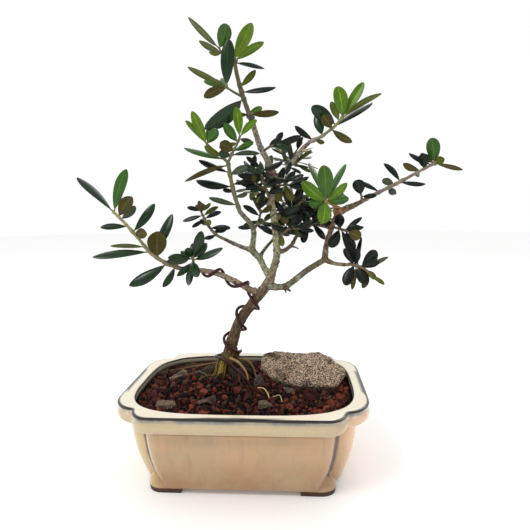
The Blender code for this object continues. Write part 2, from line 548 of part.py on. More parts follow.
def make_rock(name, size, place, turn, points, rng):
    """An angular stone: the hull of points thrown into a flattened box and pushed to its faces."""
    mesh = bpy.data.meshes.new(name)
    shape = bmesh.new()
    for _ in range(points):
        spot = Vector((rng.uniform(-1, 1), rng.uniform(-1, 1), rng.uniform(-1, 1)))
        widest = max(abs(spot.x) ** 3 + abs(spot.y) ** 3, 0.05) ** (1 / 3)
        spot.x, spot.y = spot.x / widest, spot.y / widest
        spot.z = math.copysign(0.55 + 0.45 * abs(spot.z), spot.z)
        shape.verts.new(Vector((spot.x * size[0], spot.y * size[1], spot.z * size[2])) * 0.5 * MM)
    hull = bmesh.ops.convex_hull(shape, input=shape.verts)
    bmesh.ops.delete(shape, geom=[e for e in hull["geom_unused"] if isinstance(e, bmesh.types.BMVert)],
                     context="VERTS")
    bmesh.ops.triangulate(shape, faces=shape.faces)
    bmesh.ops.recalc_face_normals(shape, faces=shape.faces)
    bmesh.ops.transform(shape, verts=shape.verts, matrix=Matrix.Translation(Vector(place) * MM)
                        @ Matrix.Rotation(math.radians(turn[2]), 4, "Z")
                        @ Matrix.Rotation(math.radians(turn[1]), 4, "Y")
                        @ Matrix.Rotation(math.radians(turn[0]), 4, "X"))
    shape.to_mesh(mesh)
    shape.free()
    return new_object(name, mesh, nodes)


# Trunk, boughs and wire

def tube(name, points, radii, sides, collection):
    """A tapering tube through points, made as a curve with a round bevel and turned into a mesh."""
    curve = bpy.data.curves.new(name, "CURVE")
    curve.dimensions = "3D"
    curve.bevel_depth = MM
    curve.bevel_resolution = (sides - 4) // 2
    curve.use_fill_caps = True
    spline = curve.splines.new("POLY")
    spline.points.add(len(points) - 1)
    for knot, point, radius in zip(spline.points, points, radii):
        knot.co = (*(point * MM), 1.0)
        knot.radius = radius
    bent = bpy.data.objects.new(f"{name}_curve", curve)
    bpy.context.scene.collection.objects.link(bent)
    graph = bpy.context.evaluated_depsgraph_get()
    mesh = bpy.data.meshes.new_from_object(bent.evaluated_get(graph))
    bpy.data.objects.remove(bent, do_unlink=True)
    shape = bmesh.new()
    shape.from_mesh(mesh)
    bmesh.ops.remove_doubles(shape, verts=shape.verts, dist=1e-6)
    bmesh.ops.recalc_face_normals(shape, faces=shape.faces)
    shape.to_mesh(mesh)
    shape.free()
    mesh.name = name
    return new_object(name, mesh, collection)


def make_limb(name):
    """One bough: it tapers, swells at its foot and its knobs, and is cut clear of the limbs that carry it."""
    knots, foot, tip, carried_by = LIMBS[name]
    points, places = smooth_path(knots, LIMB_STEP)
    length = sum((b - a).length for a, b in zip(points, points[1:]))
    radii = []
    along = 0.0
    for i, point in enumerate(points):
        along += (point - points[i - 1]).length if i else 0.0
        radius = foot + (tip - foot) * along / length
        if carried_by:
            radius *= 1 + (COLLAR - 1) * max(0.0, 1 - along / (2 * COLLAR_LENGTH))
        for height, swell, spread in KNOBS.get(name, ()):
            radius *= 1 + (swell - 1) * math.exp(-((point.z - height) / spread) ** 2)
        radii.append(radius)
    made = tube(name, points, radii, LIMB_SIDES, nodes)
    if carried_by:
        cut_by(made, [limbs[other] for other in carried_by])
    return made


def make_trunk():
    """The leaning trunk with its flare and surface roots, cut flat at the soil."""
    points, places = smooth_path(TRUNK, LIMB_STEP)
    trunk = tube("trunk", points, [between(TRUNK_RADII, place) for place in places], 10, nodes)
    parts = bpy.data.collections.new("trunk_roots")
    foot = Vector(TRUNK[0])
    for heading, reach, radius in ROOTS:
        turn = math.radians(heading)
        path = []
        for share in ROOT_SHARES:
            away = 1.5 + reach * share
            bend = turn + 0.25 * math.sin(3 * share + heading)
            x, y = foot.x + away * math.cos(bend), foot.y + away * math.sin(bend)
            lift = 5.0 * (1 - share) ** 3 - 0.9 * share
            path.append(Vector((x, y, ground(x, y) + lift)))
        tube("root", path, [radius * (1.25 - 0.95 * share) for share in ROOT_SHARES], 6, parts)
    boolean(trunk, parts, "UNION")
    bake_modifiers(trunk)
    for root in list(parts.objects):
        bpy.data.objects.remove(root, do_unlink=True)
    shape = bmesh.new()
    shape.from_mesh(trunk.data)
    level = Vector((0, 0, TRUNK[0][2] - TRUNK_SINK)) * MM
    cut = bmesh.ops.bisect_plane(shape, geom=shape.verts[:] + shape.edges[:] + shape.faces[:],
                                 plane_co=level, plane_no=(0, 0, -1), clear_outer=True)
    rim = [e for e in cut["geom_cut"] if isinstance(e, bmesh.types.BMEdge)]
    bmesh.ops.holes_fill(shape, edges=rim)
    bmesh.ops.triangulate(shape, faces=[f for f in shape.faces if len(f.verts) > 4])
    shape.to_mesh(trunk.data)
    shape.free()
    largest_body(trunk.data)
    return trunk


def coil(knots, radii, start, end, turns, first_turn):
    """Points round a limb's centre line from one place to another, just clear of its bark."""
    points, places = smooth_path(knots, 2.0)
    count = max(2, round(turns * WIRE_POINTS_PER_TURN))
    made = []
    for k in range(count + 1):
        place = start + (end - start) * k / count
        low = max(i for i in range(len(places) - 1) if places[i] <= place)
        ahead = (points[min(low + 2, len(points) - 1)] - points[max(0, low - 1)]).normalized()
        centre = points[low].lerp(points[low + 1], (place - places[low]) / (places[low + 1] - places[low]))
        side = ahead.cross(Vector((0, 1, 0))).normalized()
        back = side.cross(ahead).normalized()
        angle = math.radians(first_turn) + math.tau * turns * k / count
        reach = between(radii, place) + WIRE_RADIUS + WIRE_CLEARANCE
        made.append(centre + reach * (side * math.cos(angle) + back * math.sin(angle)))
    return made


def hold_off(points, surfaces, distance):
    """Pushes points, and the middles between them, out of surfaces until they stand a distance off."""
    for _ in range(PUSH_ROUNDS):
        for i in range(len(points)):
            for other in (i, min(i + 1, len(points) - 1)):
                for surface in surfaces:
                    probe = (points[i] + points[other]) / 2
                    spot, normal, _, away = surface.find_nearest(probe)
                    inside = away < PUSH_REACH and (probe - spot).dot(normal) < 0
                    if not inside and away >= distance:
                        continue
                    outwards = normal if inside else (probe - spot).normalized()
                    push = outwards * (distance + away if inside else distance - away)
                    for moved in {i, other}:
                        points[moved] = points[moved] + push


def make_wire():
    """The training wire: out of the soil, up the trunk and along the left bough, to a loose end."""
    knots, foot, tip, _ = LIMBS["bough_left"]
    path = [Vector(p) for p in WIRE_START]
    path += coil(TRUNK, TRUNK_RADII, *TRUNK_COIL)
    path += coil(knots, (foot, tip), *BOUGH_COIL)
    hold_off(path, [mesh_tree(limb.data) for limb in limbs.values()], WIRE_RADIUS + WIRE_CLEARANCE)
    return tube("wire", path, [WIRE_RADIUS] * len(path), 6, nodes)


# Leaves

def bearing(turn, lean):
    """A direction given as seen from the front: degrees from +X towards +Z, and degrees towards the front."""
    turn, lean = math.radians(turn), math.radians(lean)
    return Vector((math.cos(turn) * math.cos(lean), -math.sin(lean), math.sin(turn) * math.cos(lean)))


def leaf_skin(foot, along, up, length, width):
    """A closed blade, thickest at its root: a small one is a wedge, a large one also bends at its middle."""
    up = (up - up.dot(along) * along).normalized()
    side = along.cross(up)

    def at(share, out, lift=0.0):
        sag = LEAF_CURL * length * share ** 2
        return foot + along * share * length + side * out * width / 2 + up * (lift - sag)

    points = [at(0, 0, LEAF_ROOT), at(0, 0, -LEAF_ROOT), at(1, 0)]
    if length <= SMALL_LEAF:
        points += [at(LEAF_BREADTH, 1), at(LEAF_BREADTH, -1)]
        faces = [(0, 3, 2), (0, 2, 4), (1, 2, 3), (1, 4, 2), (0, 1, 3), (0, 4, 1)]
        return points, faces
    thick = LEAF_THICKNESS * length / 2
    points += [at(share, side_out * out) for side_out in (1, -1) for share, out in LEAF_SHOULDERS]
    points += [at(LEAF_BREADTH, 0, thick), at(LEAF_BREADTH, 0, -thick)]
    faces = [(0, 1, 3), (0, 5, 1)]
    for root, middle, near, far, near_other, far_other in ((0, 7, 3, 4, 5, 6), (1, 8, 5, 6, 3, 4)):
        faces += [(root, near, middle), (near, far, middle), (far, 2, middle), (2, far_other, middle),
                  (far_other, near_other, middle), (near_other, root, middle)]
    return points, faces


def skin_tree(points, faces):
    return BVHTree.FromPolygons([tuple(p) for p in points], faces)


def mesh_tree(mesh):
    mesh.calc_loop_triangles()
    return skin_tree([v.co / MM for v in mesh.vertices], [tuple(t.vertices) for t in mesh.loop_triangles])


def fattened(points, by):
    """Points pushed away from their middle line, so that a test against them keeps a clearance."""
    foot, tip = points[0], max(points, key=lambda p: (p - points[0]).length)
    axis = (tip - foot).normalized()
    made = []
    for point in points:
        away = point - foot - axis * (point - foot).dot(axis)
        push = away.normalized() if away.length > 1e-6 else Vector()
        made.append(point + push * by + (axis * by if point is tip else Vector()))
    return made


def twig_skin(knots, foot_radius, tip_radius):
    """A three-sided twig, which a curve's bevel can't make, with closed ends."""
    points, places = smooth_path(knots, 9.0)
    skin = []
    for i, (point, place) in enumerate(zip(points, places)):
        ahead = (points[min(i + 1, len(points) - 1)] - points[max(i - 1, 0)]).normalized()
        side = ahead.cross(Vector((0.31, 0.9, 0.3))).normalized()
        front = side.cross(ahead)
        radius = foot_radius + (tip_radius - foot_radius) * place
        for k in range(3):
            turn = math.tau * k / 3
            skin.append(point + radius * (side * math.cos(turn) + front * math.sin(turn)))
    faces = [(3 * i + k, 3 * i + (k + 1) % 3, 3 * i + 3 + (k + 1) % 3, 3 * i + 3 + k)
             for i in range(len(points) - 1) for k in range(3)]
    faces += [(0, 1, 2), tuple(len(skin) - 3 + k for k in range(3))]
    return points, skin, faces


def shown_leaves(path, leaves, rng):
    """The listed leaves of one shoot as (foot, direction, upper side, length, width)."""
    for place, turn, lean, length, width in leaves:
        foot = between(path, place)
        along = bearing(turn, lean)
        stem = (between(path, min(1.0, place + 0.05)) - between(path, max(0.0, place - 0.05))).normalized()
        breadth = min(1.0, width / (0.28 * length))
        up = stem * (1.15 - breadth) + Vector((0, -1, 0)) * breadth + 0.2 * bearing(rng.uniform(0, 360), 0)
        yield foot, along, up, length, width


def rule_leaves(path, pairs, size, rng):
    """Opposite pairs of leaves, each pair a quarter turn on from the last one."""
    roll = rng.uniform(0, 180)
    for i in range(pairs):
        place = (i + 0.8) / pairs if pairs > 1 else 0.9
        place = min(place, 0.99)
        foot = between(path, place)
        ahead = (path[-1] - path[0]).normalized()
        side = ahead.cross(Vector((0.2, 1, 0.1))).normalized()
        front = side.cross(ahead)
        roll += 90 + rng.uniform(-14, 14)
        splay = math.radians(SPLAY_FOOT + (SPLAY_TIP - SPLAY_FOOT) * place)
        for half_turn in (0, 180):
            turn = math.radians(roll + half_turn)
            out = side * math.cos(turn) + front * math.sin(turn)
            along = (ahead * math.cos(splay) + out * math.sin(splay)).normalized()
            length = size * rng.uniform(0.78, 1.12)
            yield foot, along, ahead, length, length * RULE_LEAF_RATIO


def rule_shoots(knots, twigs, size, rng):
    """The stem and its side twigs, which leave it by turns on alternate sides."""
    stem, _ = smooth_path(knots, 3.0)
    length = sum((b - a).length for a, b in zip(stem, stem[1:]))
    yield [Vector(k) for k in knots], 0.95, 0.6
    turn = rng.uniform(0, 360)
    for k in range(twigs):
        place = 0.25 + 0.6 * k / max(1, twigs - 1)
        foot = between(stem, place)
        ahead = (stem[-1] - stem[0]).normalized()
        side = ahead.cross(Vector((0.2, 1, 0.1))).normalized()
        front = side.cross(ahead)
        turn += TWIG_TURN
        out = side * math.cos(math.radians(turn)) + front * math.sin(math.radians(turn))
        heading = (0.65 * ahead + out).normalized()
        reach = max(8.0, TWIG_SHARE * length) * rng.uniform(0.85, 1.15)
        yield [foot, foot + heading * 0.5 * reach, foot + heading * reach + ahead * 0.15 * reach], 0.7, 0.5


def overlaps_any(tree, others):
    return any(tree.overlap(other) for other in others)


def make_mass(name, shoots):
    """Fuses one mass: twigs and leaves that would touch a limb or another mass are left off."""
    parts = bpy.data.collections.new(f"{name}_parts")
    stem = None
    own = []
    for number, (path, skin, faces, leaves) in enumerate(shoots):
        if number and overlaps_any(skin_tree(fattened(skin, LEAF_CLEARANCE), faces), occupied):
            continue
        piece = new_object(f"{name}_twig", mesh_from(name, skin, faces), parts if number else nodes)
        if not number:
            stem = piece
            tree = skin_tree(fattened(skin, LEAF_CLEARANCE), faces)
            cut_by(stem, [limb for limb in limbs.values() if tree.overlap(mesh_tree(limb.data))])
        for foot, along, up, length, width in leaves:
            points, sides = leaf_skin(foot, along, up, length, width)
            tree = skin_tree(fattened(points, LEAF_CLEARANCE), sides)
            beyond = [foot + along * 2.0 + (p - foot) * 0.9 for p in points]
            if overlaps_any(tree, occupied) or overlaps_any(skin_tree(beyond, sides), own):
                skipped[name] = skipped.get(name, 0) + 1
                continue
            own.append(skin_tree(points, sides))
            new_object(f"{name}_leaf", mesh_from(name, points, sides), parts)
    boolean(stem, parts, "UNION", "MANIFOLD")
    bake_modifiers(stem)
    for part in list(parts.objects):
        bpy.data.objects.remove(part, do_unlink=True)
    bpy.data.collections.remove(parts)
    largest_body(stem.data)
    stem.name = name
    occupied.append(mesh_tree(stem.data))
    finish(stem, "leaf")
    return stem


def make_masses():
    rng = random.Random(SEED)
    for name, shoots in SHOWN_MASSES.items():
        grown = []
        for knots, foot, tip, leaves in shoots:
            _, skin, faces = twig_skin(knots, foot, tip)
            path, _ = smooth_path(knots, 1.5)
            grown.append((path, skin, faces, list(shown_leaves(path, leaves, rng))))
        make_mass(name, grown)
    for name, (knots, pairs, twigs, size) in RULE_MASSES.items():
        grown = []
        for number, (path, foot, tip) in enumerate(rule_shoots(knots, twigs, size, rng)):
            _, skin, faces = twig_skin(path, foot, tip)
            fine, _ = smooth_path(path, 1.5)
            count = TWIG_PAIRS if number else pairs
            grown.append((fine, skin, faces, list(rule_leaves(fine, count, size, rng))))
        make_mass(name, grown)


def centre_on_origin():
    """Moves the stand so that the middle of everything's box lies over the origin."""
    bpy.context.view_layer.update()
    corners = [piece.matrix_world @ Vector(c) for piece in nodes.objects if piece.type == "MESH"
               for c in piece.bound_box]
    low = Vector([min(c[i] for c in corners) for i in range(3)])
    high = Vector([max(c[i] for c in corners) for i in range(3)])
    stand.location = (-(low.x + high.x) / 2, -(low.y + high.y) / 2, -low.z)


clear_scene()
nodes = new_collection(COLLECTION)
cutters = new_collection("cutters", hidden=True)
stand = bpy.data.objects.new("stand", None)
nodes.objects.link(stand)
rng = random.Random(SEED)

pot = make_pot()
limbs = {"trunk": make_trunk()}
for limb_name in LIMBS:
    limbs[limb_name] = make_limb(limb_name)
wire = make_wire()
stone = make_slab()
chips = []
for number, (size, (x, y), turn) in enumerate(CHIPS, 1):
    chips.append(make_rock(f"chip_{number}", size, (x, y, ground(x, y) + 0.25 * size[2]), turn, 12, rng))
soil = make_soil()
cut_by(soil, [limbs["trunk"], stone, wire, *chips])
add_grit(soil, [mesh_tree(piece.data) for piece in (pot, limbs["trunk"], stone, wire, *chips)])

for piece in limbs.values():
    finish(piece, "bark")
finish(wire, "wire")
finish(stone, "stone")
finish(soil, "soil")
for chip in chips:
    finish(chip, "chip")

skipped = {}
occupied = [mesh_tree(piece.data) for piece in (*limbs.values(), wire, stone, *chips)]
make_masses()
centre_on_origin()
print("skipped", skipped, "stand", tuple(round(v / MM, 2) for v in stand.location))
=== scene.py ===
import json
import math
import random
from itertools import accumulate

import bmesh
import bpy
import numpy as np
from mathutils import Matrix, Vector, noise
from mathutils.bvhtree import BVHTree
from mathutils.kdtree import KDTree

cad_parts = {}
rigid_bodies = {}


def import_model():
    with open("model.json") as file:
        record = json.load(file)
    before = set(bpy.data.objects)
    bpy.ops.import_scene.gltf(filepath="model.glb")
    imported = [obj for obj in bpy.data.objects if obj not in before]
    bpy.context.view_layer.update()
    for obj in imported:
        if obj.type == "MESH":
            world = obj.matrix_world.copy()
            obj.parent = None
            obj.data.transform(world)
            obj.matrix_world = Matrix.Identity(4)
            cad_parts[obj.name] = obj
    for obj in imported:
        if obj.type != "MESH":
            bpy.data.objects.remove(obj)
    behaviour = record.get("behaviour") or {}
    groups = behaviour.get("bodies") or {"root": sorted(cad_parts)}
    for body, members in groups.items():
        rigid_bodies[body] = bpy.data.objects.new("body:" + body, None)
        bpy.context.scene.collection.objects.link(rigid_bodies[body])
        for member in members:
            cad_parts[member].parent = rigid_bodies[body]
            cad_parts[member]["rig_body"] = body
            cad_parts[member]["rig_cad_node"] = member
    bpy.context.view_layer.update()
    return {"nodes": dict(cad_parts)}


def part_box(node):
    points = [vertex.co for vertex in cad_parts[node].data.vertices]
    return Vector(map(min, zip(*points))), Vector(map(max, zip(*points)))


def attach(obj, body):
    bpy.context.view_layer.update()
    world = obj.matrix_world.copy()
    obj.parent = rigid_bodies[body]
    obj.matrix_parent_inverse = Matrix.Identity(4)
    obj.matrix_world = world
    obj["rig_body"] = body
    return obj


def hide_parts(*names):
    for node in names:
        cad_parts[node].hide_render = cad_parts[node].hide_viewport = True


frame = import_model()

# Potted olive bonsai. Sizes are millimetres from the middle of the pot's footprint, as the frame's own source
# has them; the frame itself is in metres.
mm = 0.001
potLow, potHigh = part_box("pot")
potShift = Vector(((potLow.x + potHigh.x) / 2, (potLow.y + potHigh.y) / 2, 0))
nodes = frame["nodes"]
massNames = sorted(name for name in nodes if name.startswith("leaves_"))
cameraPlan = {
    "spot": (32.5, -320.5, 167.5),
    "pitch": 6.6,  # degrees, as are the yaw and the roll
    "yaw": 3.55,
    "roll": -0.5,
    "lens": 33.96,
}


def deselectAll():
    if bpy.context.object and bpy.context.object.mode != "OBJECT":
        bpy.ops.object.mode_set(mode="OBJECT")
    bpy.ops.object.select_all(action="DESELECT")


def makeActive(piece):
    deselectAll()
    piece.select_set(True)
    bpy.context.view_layer.objects.active = piece


def applyModifier(piece, kind, **settings):
    makeActive(piece)
    made = piece.modifiers.new(kind.lower(), kind)
    for name, value in settings.items():
        setattr(made, name, value)
    bpy.ops.object.modifier_apply(modifier=made.name)


def joinedMesh(name, points, faces, slots=None):
    # One mesh piece from many small shapes; points are millimetres.
    mesh = bpy.data.meshes.new(name)
    places = np.asarray(points, dtype=float) * mm + np.array(potShift)
    mesh.from_pydata(places.tolist(), [], faces)
    if slots is not None:
        mesh.polygons.foreach_set("material_index", np.asarray(slots, dtype=np.int32))
    mesh.polygons.foreach_set("use_smooth", [True] * len(faces))
    mesh.update()
    piece = bpy.data.objects.new(name, mesh)
    bpy.context.scene.collection.objects.link(piece)
    return piece


def pointsOf(piece):
    # A mesh's points in millimetres from the pot's middle.
    flat = np.empty(len(piece.data.vertices) * 3)
    piece.data.vertices.foreach_get("co", flat)
    return (flat.reshape(-1, 3) - np.array(potShift)) / mm


def setPoints(piece, points):
    flat = (np.asarray(points) * mm + np.array(potShift)).reshape(-1)
    piece.data.vertices.foreach_set("co", flat)
    piece.data.update()


def normalsOf(piece):
    flat = np.empty(len(piece.data.vertices) * 3)
    piece.data.vertices.foreach_get("normal", flat)
    return flat.reshape(-1, 3)


def setMask(piece, name, values):
    layer = piece.data.attributes.new(name, "FLOAT", "POINT")
    layer.data.foreach_set("value", np.asarray(values, dtype=np.float32))


def setTone(piece, colours):
    # Colours by point, given as red, green and blue in linear light.
    layer = piece.data.attributes.new("tone", "FLOAT_COLOR", "POINT")
    full = np.ones((len(colours), 4), dtype=np.float32)
    full[:, :3] = colours
    layer.data.foreach_set("color", full.reshape(-1))


def linear(red, green, blue):
    # Screen values 0-255 as linear light.
    made = []
    for value in (red, green, blue):
        value /= 255
        made.append(value / 12.92 if value <= 0.04045 else ((value + 0.055) / 1.055) ** 2.4)
    return tuple(made)


def treeOf(points, faces):
    return BVHTree.FromPolygons([tuple(p) for p in points], faces)


def meshTree(piece):
    piece.data.calc_loop_triangles()
    return treeOf(pointsOf(piece), [tuple(t.vertices) for t in piece.data.loop_triangles])


def smoothPath(knots, step):
    # Points about a step apart on a Catmull-Rom curve through the knots, and how far along each one is.
    ends = [Vector(k) for k in knots]
    ends = [2 * ends[0] - ends[1], *ends, 2 * ends[-1] - ends[-2]]
    points = [ends[1]]
    places = [0.0]
    for i in range(1, len(ends) - 2):
        before, start, end, after = ends[i - 1:i + 3]
        count = max(1, round((end - start).length / step))
        for k in range(1, count + 1):
            t = k / count
            bend = (2 * before - 5 * start + 4 * end - after) * t ** 2
            bend += (3 * start - before - 3 * end + after) * t ** 3
            points.append(0.5 * (2 * start + (end - before) * t + bend))
            places.append((i - 1 + t) / (len(ends) - 3))
    return points, places


def between(values, place):
    spot = place * (len(values) - 1)
    low = min(int(spot), len(values) - 2)
    return values[low] + (values[low + 1] - values[low]) * (spot - low)


def tubeFaces(rings, sides):
    faces = []
    for i in range(rings - 1):
        for k in range(sides):
            beside = (k + 1) % sides
            faces.append((i * sides + k, i * sides + beside, (i + 1) * sides + beside, (i + 1) * sides + k))
    last = (rings - 1) * sides
    return faces + [tuple(range(sides - 1, -1, -1)), tuple(range(last, last + sides))]


def ringsAlong(path, radii, sides):
    # A tube's points and faces round a path, with closed ends and no twist.
    points = []
    ahead = (path[1] - path[0]).normalized()
    side = ahead.orthogonal().normalized()
    for i, centre in enumerate(path):
        ahead = (path[min(i + 1, len(path) - 1)] - path[max(i - 1, 0)]).normalized()
        side = (side - side.dot(ahead) * ahead).normalized()
        front = ahead.cross(side)
        for k in range(sides):
            turn = math.tau * k / sides
            points.append(centre + radii[i] * (side * math.cos(turn) + front * math.sin(turn)))
    return points, tubeFaces(len(path), sides)


class Batch:
    # Gathers the points and faces of many small shapes for one joined piece.
    def __init__(self):
        self.points = []
        self.faces = []
        self.slots = []
        self.tones = []

    def add(self, points, faces, slots=None, tones=None):
        start = len(self.points)
        self.points += [tuple(p) for p in points]
        self.faces += [tuple(start + v for v in face) for face in faces]
        self.slots += slots if slots is not None else [0] * len(faces)
        if tones is not None:
            self.tones += tones


# Materials


def node(tree, kind, inputs=None, **settings):
    made = tree.nodes.new(kind)
    for name, value in settings.items():
        setattr(made, name, value)
    for name, value in (inputs or {}).items():
        socket = made.inputs[name]
        if isinstance(value, bpy.types.NodeSocket):
            tree.links.new(value, socket)
        else:
            socket.default_value = value
    return made


def calculate(tree, operation, first, second):
    return node(tree, "ShaderNodeMath", {0: first, 1: second}, operation=operation).outputs[0]


def plus(tree, first, second):
    return calculate(tree, "ADD", first, second)


def minus(tree, first, second):
    return calculate(tree, "SUBTRACT", first, second)


def times(tree, first, *others):
    for other in others:
        first = calculate(tree, "MULTIPLY", first, other)
    return first


def mixColour(tree, share, first, second, blend="MIX"):
    def asColour(value):
        return value if isinstance(value, bpy.types.NodeSocket) else (*value, 1.0)

    made = node(tree, "ShaderNodeMix", {0: share, 6: asColour(first), 7: asColour(second)},
                data_type="RGBA", blend_type=blend)
    return made.outputs[2]


def shaded(tree, colour, shade):
    # The colour made lighter or darker by one value.
    grey = node(tree, "ShaderNodeCombineColor", {0: shade, 1: shade, 2: shade}).outputs[0]
    return mixColour(tree, 1.0, colour, grey, "MULTIPLY")


def ramp(tree, value, low, high, start=0.0, end=1.0):
    # Value from low to high as start to end, eased.
    span = {"Value": value, "From Min": low, "From Max": high, "To Min": start, "To Max": end}
    made = node(tree, "ShaderNodeMapRange", span, interpolation_type="SMOOTHSTEP", clamp=True)
    return made.outputs["Result"]


def newGroup(name, inputs, outputs=("Mask",)):
    # Inputs come with their first value; one without a value is a place.
    tree = bpy.data.node_groups.new(name, "ShaderNodeTree")
    for label, value in inputs.items():
        kind = "NodeSocketVector" if value is None else "NodeSocketFloat"
        socket = tree.interface.new_socket(label, in_out="INPUT", socket_type=kind)
        if value is not None:
            socket.default_value = value
    for label in outputs:
        tree.interface.new_socket(label, in_out="OUTPUT", socket_type="NodeSocketFloat")
    return tree, tree.nodes.new("NodeGroupInput").outputs, tree.nodes.new("NodeGroupOutput").inputs


def buildMottle():
    # Soft clouds with a finer grain in them: a mask round a half.
    tree, given, out = newGroup("mottle", {"Place": None, "Scale": 100.0, "Spread": 1.0})
    inputs = {"Vector": given["Place"], "Scale": given["Scale"], "Detail": 4.0, "Roughness": 0.6,
              "Distortion": 0.3}
    broad = node(tree, "ShaderNodeTexNoise", inputs)
    wide = minus(tree, broad.outputs[0], 0.5)
    tree.links.new(plus(tree, times(tree, wide, given["Spread"]), 0.5), out["Mask"])
    return tree


def buildSpecks():
    # Scattered round dots: only the cells whose own number is low have one.
    tree, given, out = newGroup("specks", {"Place": None, "Scale": 100.0, "Size": 0.2, "Share": 0.2})
    cells = node(tree, "ShaderNodeTexVoronoi", {"Vector": given["Place"], "Scale": given["Scale"]})
    number = node(tree, "ShaderNodeSeparateColor", {0: cells.outputs["Color"]}).outputs[0]
    chosen = calculate(tree, "LESS_THAN", number, given["Share"])
    size = times(tree, given["Size"], plus(tree, number, 0.7))
    near = minus(tree, 1.0, calculate(tree, "DIVIDE", cells.outputs["Distance"], size))
    tree.links.new(times(tree, ramp(tree, near, 0.0, 0.5), chosen), out["Mask"])
    return tree


def buildPores():
    # Rough broken surface with small pits, as a height.
    tree, given, out = newGroup("pores", {"Place": None, "Scale": 900.0}, ("Height", "Pit"))
    inputs = {"Vector": given["Place"], "Scale": given["Scale"], "Detail": 6.0, "Roughness": 0.7}
    grain = node(tree, "ShaderNodeTexNoise", inputs)
    cells = node(tree, "ShaderNodeTexVoronoi", {"Vector": given["Place"], "Scale": given["Scale"]})
    pit = ramp(tree, cells.outputs["Distance"], 0.35, 0.1)
    tree.links.new(pit, out["Pit"])
    tree.links.new(minus(tree, grain.outputs[0], times(tree, pit, 0.5)), out["Height"])
    return tree


def buildBand():
    # One where the height lies between low and high, with soft edges.
    tree, given, out = newGroup("heightBand", {"Height": 0.0, "Low": 0.0, "High": 1.0, "Soft": 0.2})
    height, low, high, soft = (given[label] for label in ("Height", "Low", "High", "Soft"))
    rise = ramp(tree, height, minus(tree, low, soft), plus(tree, low, soft))
    fall = ramp(tree, height, minus(tree, high, soft), plus(tree, high, soft), 1.0, 0.0)
    tree.links.new(times(tree, rise, fall), out["Mask"])
    return tree


mottleGroup = buildMottle()
specksGroup = buildSpecks()
poresGroup = buildPores()
bandGroup = buildBand()


def mottle(tree, spot, scale, spread):
    inputs = {"Place": spot, "Scale": scale, "Spread": spread}
    return node(tree, "ShaderNodeGroup", inputs, node_tree=mottleGroup).outputs[0]


def specks(tree, spot, scale, size, share):
    inputs = {"Place": spot, "Scale": scale, "Size": size, "Share": share}
    return node(tree, "ShaderNodeGroup", inputs, node_tree=specksGroup).outputs[0]


def pores(tree, spot, scale):
    return node(tree, "ShaderNodeGroup", {"Place": spot, "Scale": scale}, node_tree=poresGroup).outputs


def heightBand(tree, height, low, high, soft):
    inputs = {"Height": height, "Low": low, "High": high, "Soft": soft}
    return node(tree, "ShaderNodeGroup", inputs, node_tree=bandGroup).outputs[0]


def newMaterial(name, **shaderValues):
    material = bpy.data.materials.new(name)
    material.use_nodes = True
    tree = material.node_tree
    shader = tree.nodes["Principled BSDF"]
    for label, value in shaderValues.items():
        shader.inputs[label.replace("_", " ")].default_value = value
    spot = node(tree, "ShaderNodeTexCoord").outputs["Object"]
    return material, tree, shader, spot


def finishSurface(tree, shader, colour, rough, height, distance, strength=1.0):
    # A roughness of None leaves the material's own; the bump's distance is in millimetres.
    tree.links.new(colour, shader.inputs["Base Color"])
    if rough is not None:
        tree.links.new(rough, shader.inputs["Roughness"])
    bump = node(tree, "ShaderNodeBump", {"Height": height, "Distance": distance * mm, "Strength": strength})
    tree.links.new(bump.outputs[0], shader.inputs["Normal"])


def attribute(tree, name, output="Fac"):
    return node(tree, "ShaderNodeAttribute", attribute_name=name).outputs[output]


# Glaze: heights in millimetres, with a band's softness, and colours on screen.
glazeLevels = {
    # the heights over which the body's painted shade, darker and warmer towards the foot, fades
    "bodyShadeFade": (4.0, 36.0),
    "rollStart": (41.6, 42.6),
    "lipTop": (52.3, 52.8),
    # the heights over which the painted shade on the inner wall fades out upwards
    "wallShadeFade": (48.4, 51.2),
    "blue": (49.8, 52.6, 0.7),
    "pool": (50.9, 52.0, 0.3),
    # the crease under the lip: painted shade together with glaze pooling
    "coveShade": (40.2, 42.2, 0.7),
    "rimLine": (51.75, 53.6, 0.16),
    "innerLine": (51.7, 52.75, 0.2),
    "bareFeet": (3.1, 2.8),
}
glazeTones = {
    # the body's two colours are painted shade and painted warm reflected light: darker and warmer than the
    # rim's glaze, most at the foot
    "shadedBodyLow": (166, 127, 90),
    "shadedBodyHigh": (200, 163, 126),
    "bodyCloud": (180, 156, 124),
    "bodyStreak": (150, 126, 98),
    # the pink at the right end of the body is painted light
    "bodyPinkLit": (255, 208, 172),
    "bodyGreen": (208, 186, 136),
    "cream": (236, 227, 204),
    "creamCloud": (222, 209, 180),
    "roll": (206, 186, 152),
    "rollGrain": (190, 168, 134),
    # the pink at the right end of the roll is painted light
    "rollPinkLit": (238, 196, 164),
    # painted shade low on the inner wall, near the soil
    "wallLowShade": (44, 34, 28),
    "wallHigh": (176, 168, 148),
    "blueDeep": (118, 124, 124),
    "bluePale": (158, 154, 138),
    "pool": (104, 108, 112),
    # the crease under the lip: painted shade together with glaze pooling
    "coveShade": (128, 98, 68),
    "groove": (82, 74, 74),
    # the notch colour is a painted highlight on the lip by the notches
    "notch": (222, 222, 216),
    "line": (26, 16, 14),
    "dot": (80, 56, 40),
    "dust": (118, 92, 66),
    "clayDeep": (52, 34, 26),
    "clayPale": (84, 56, 42),
}


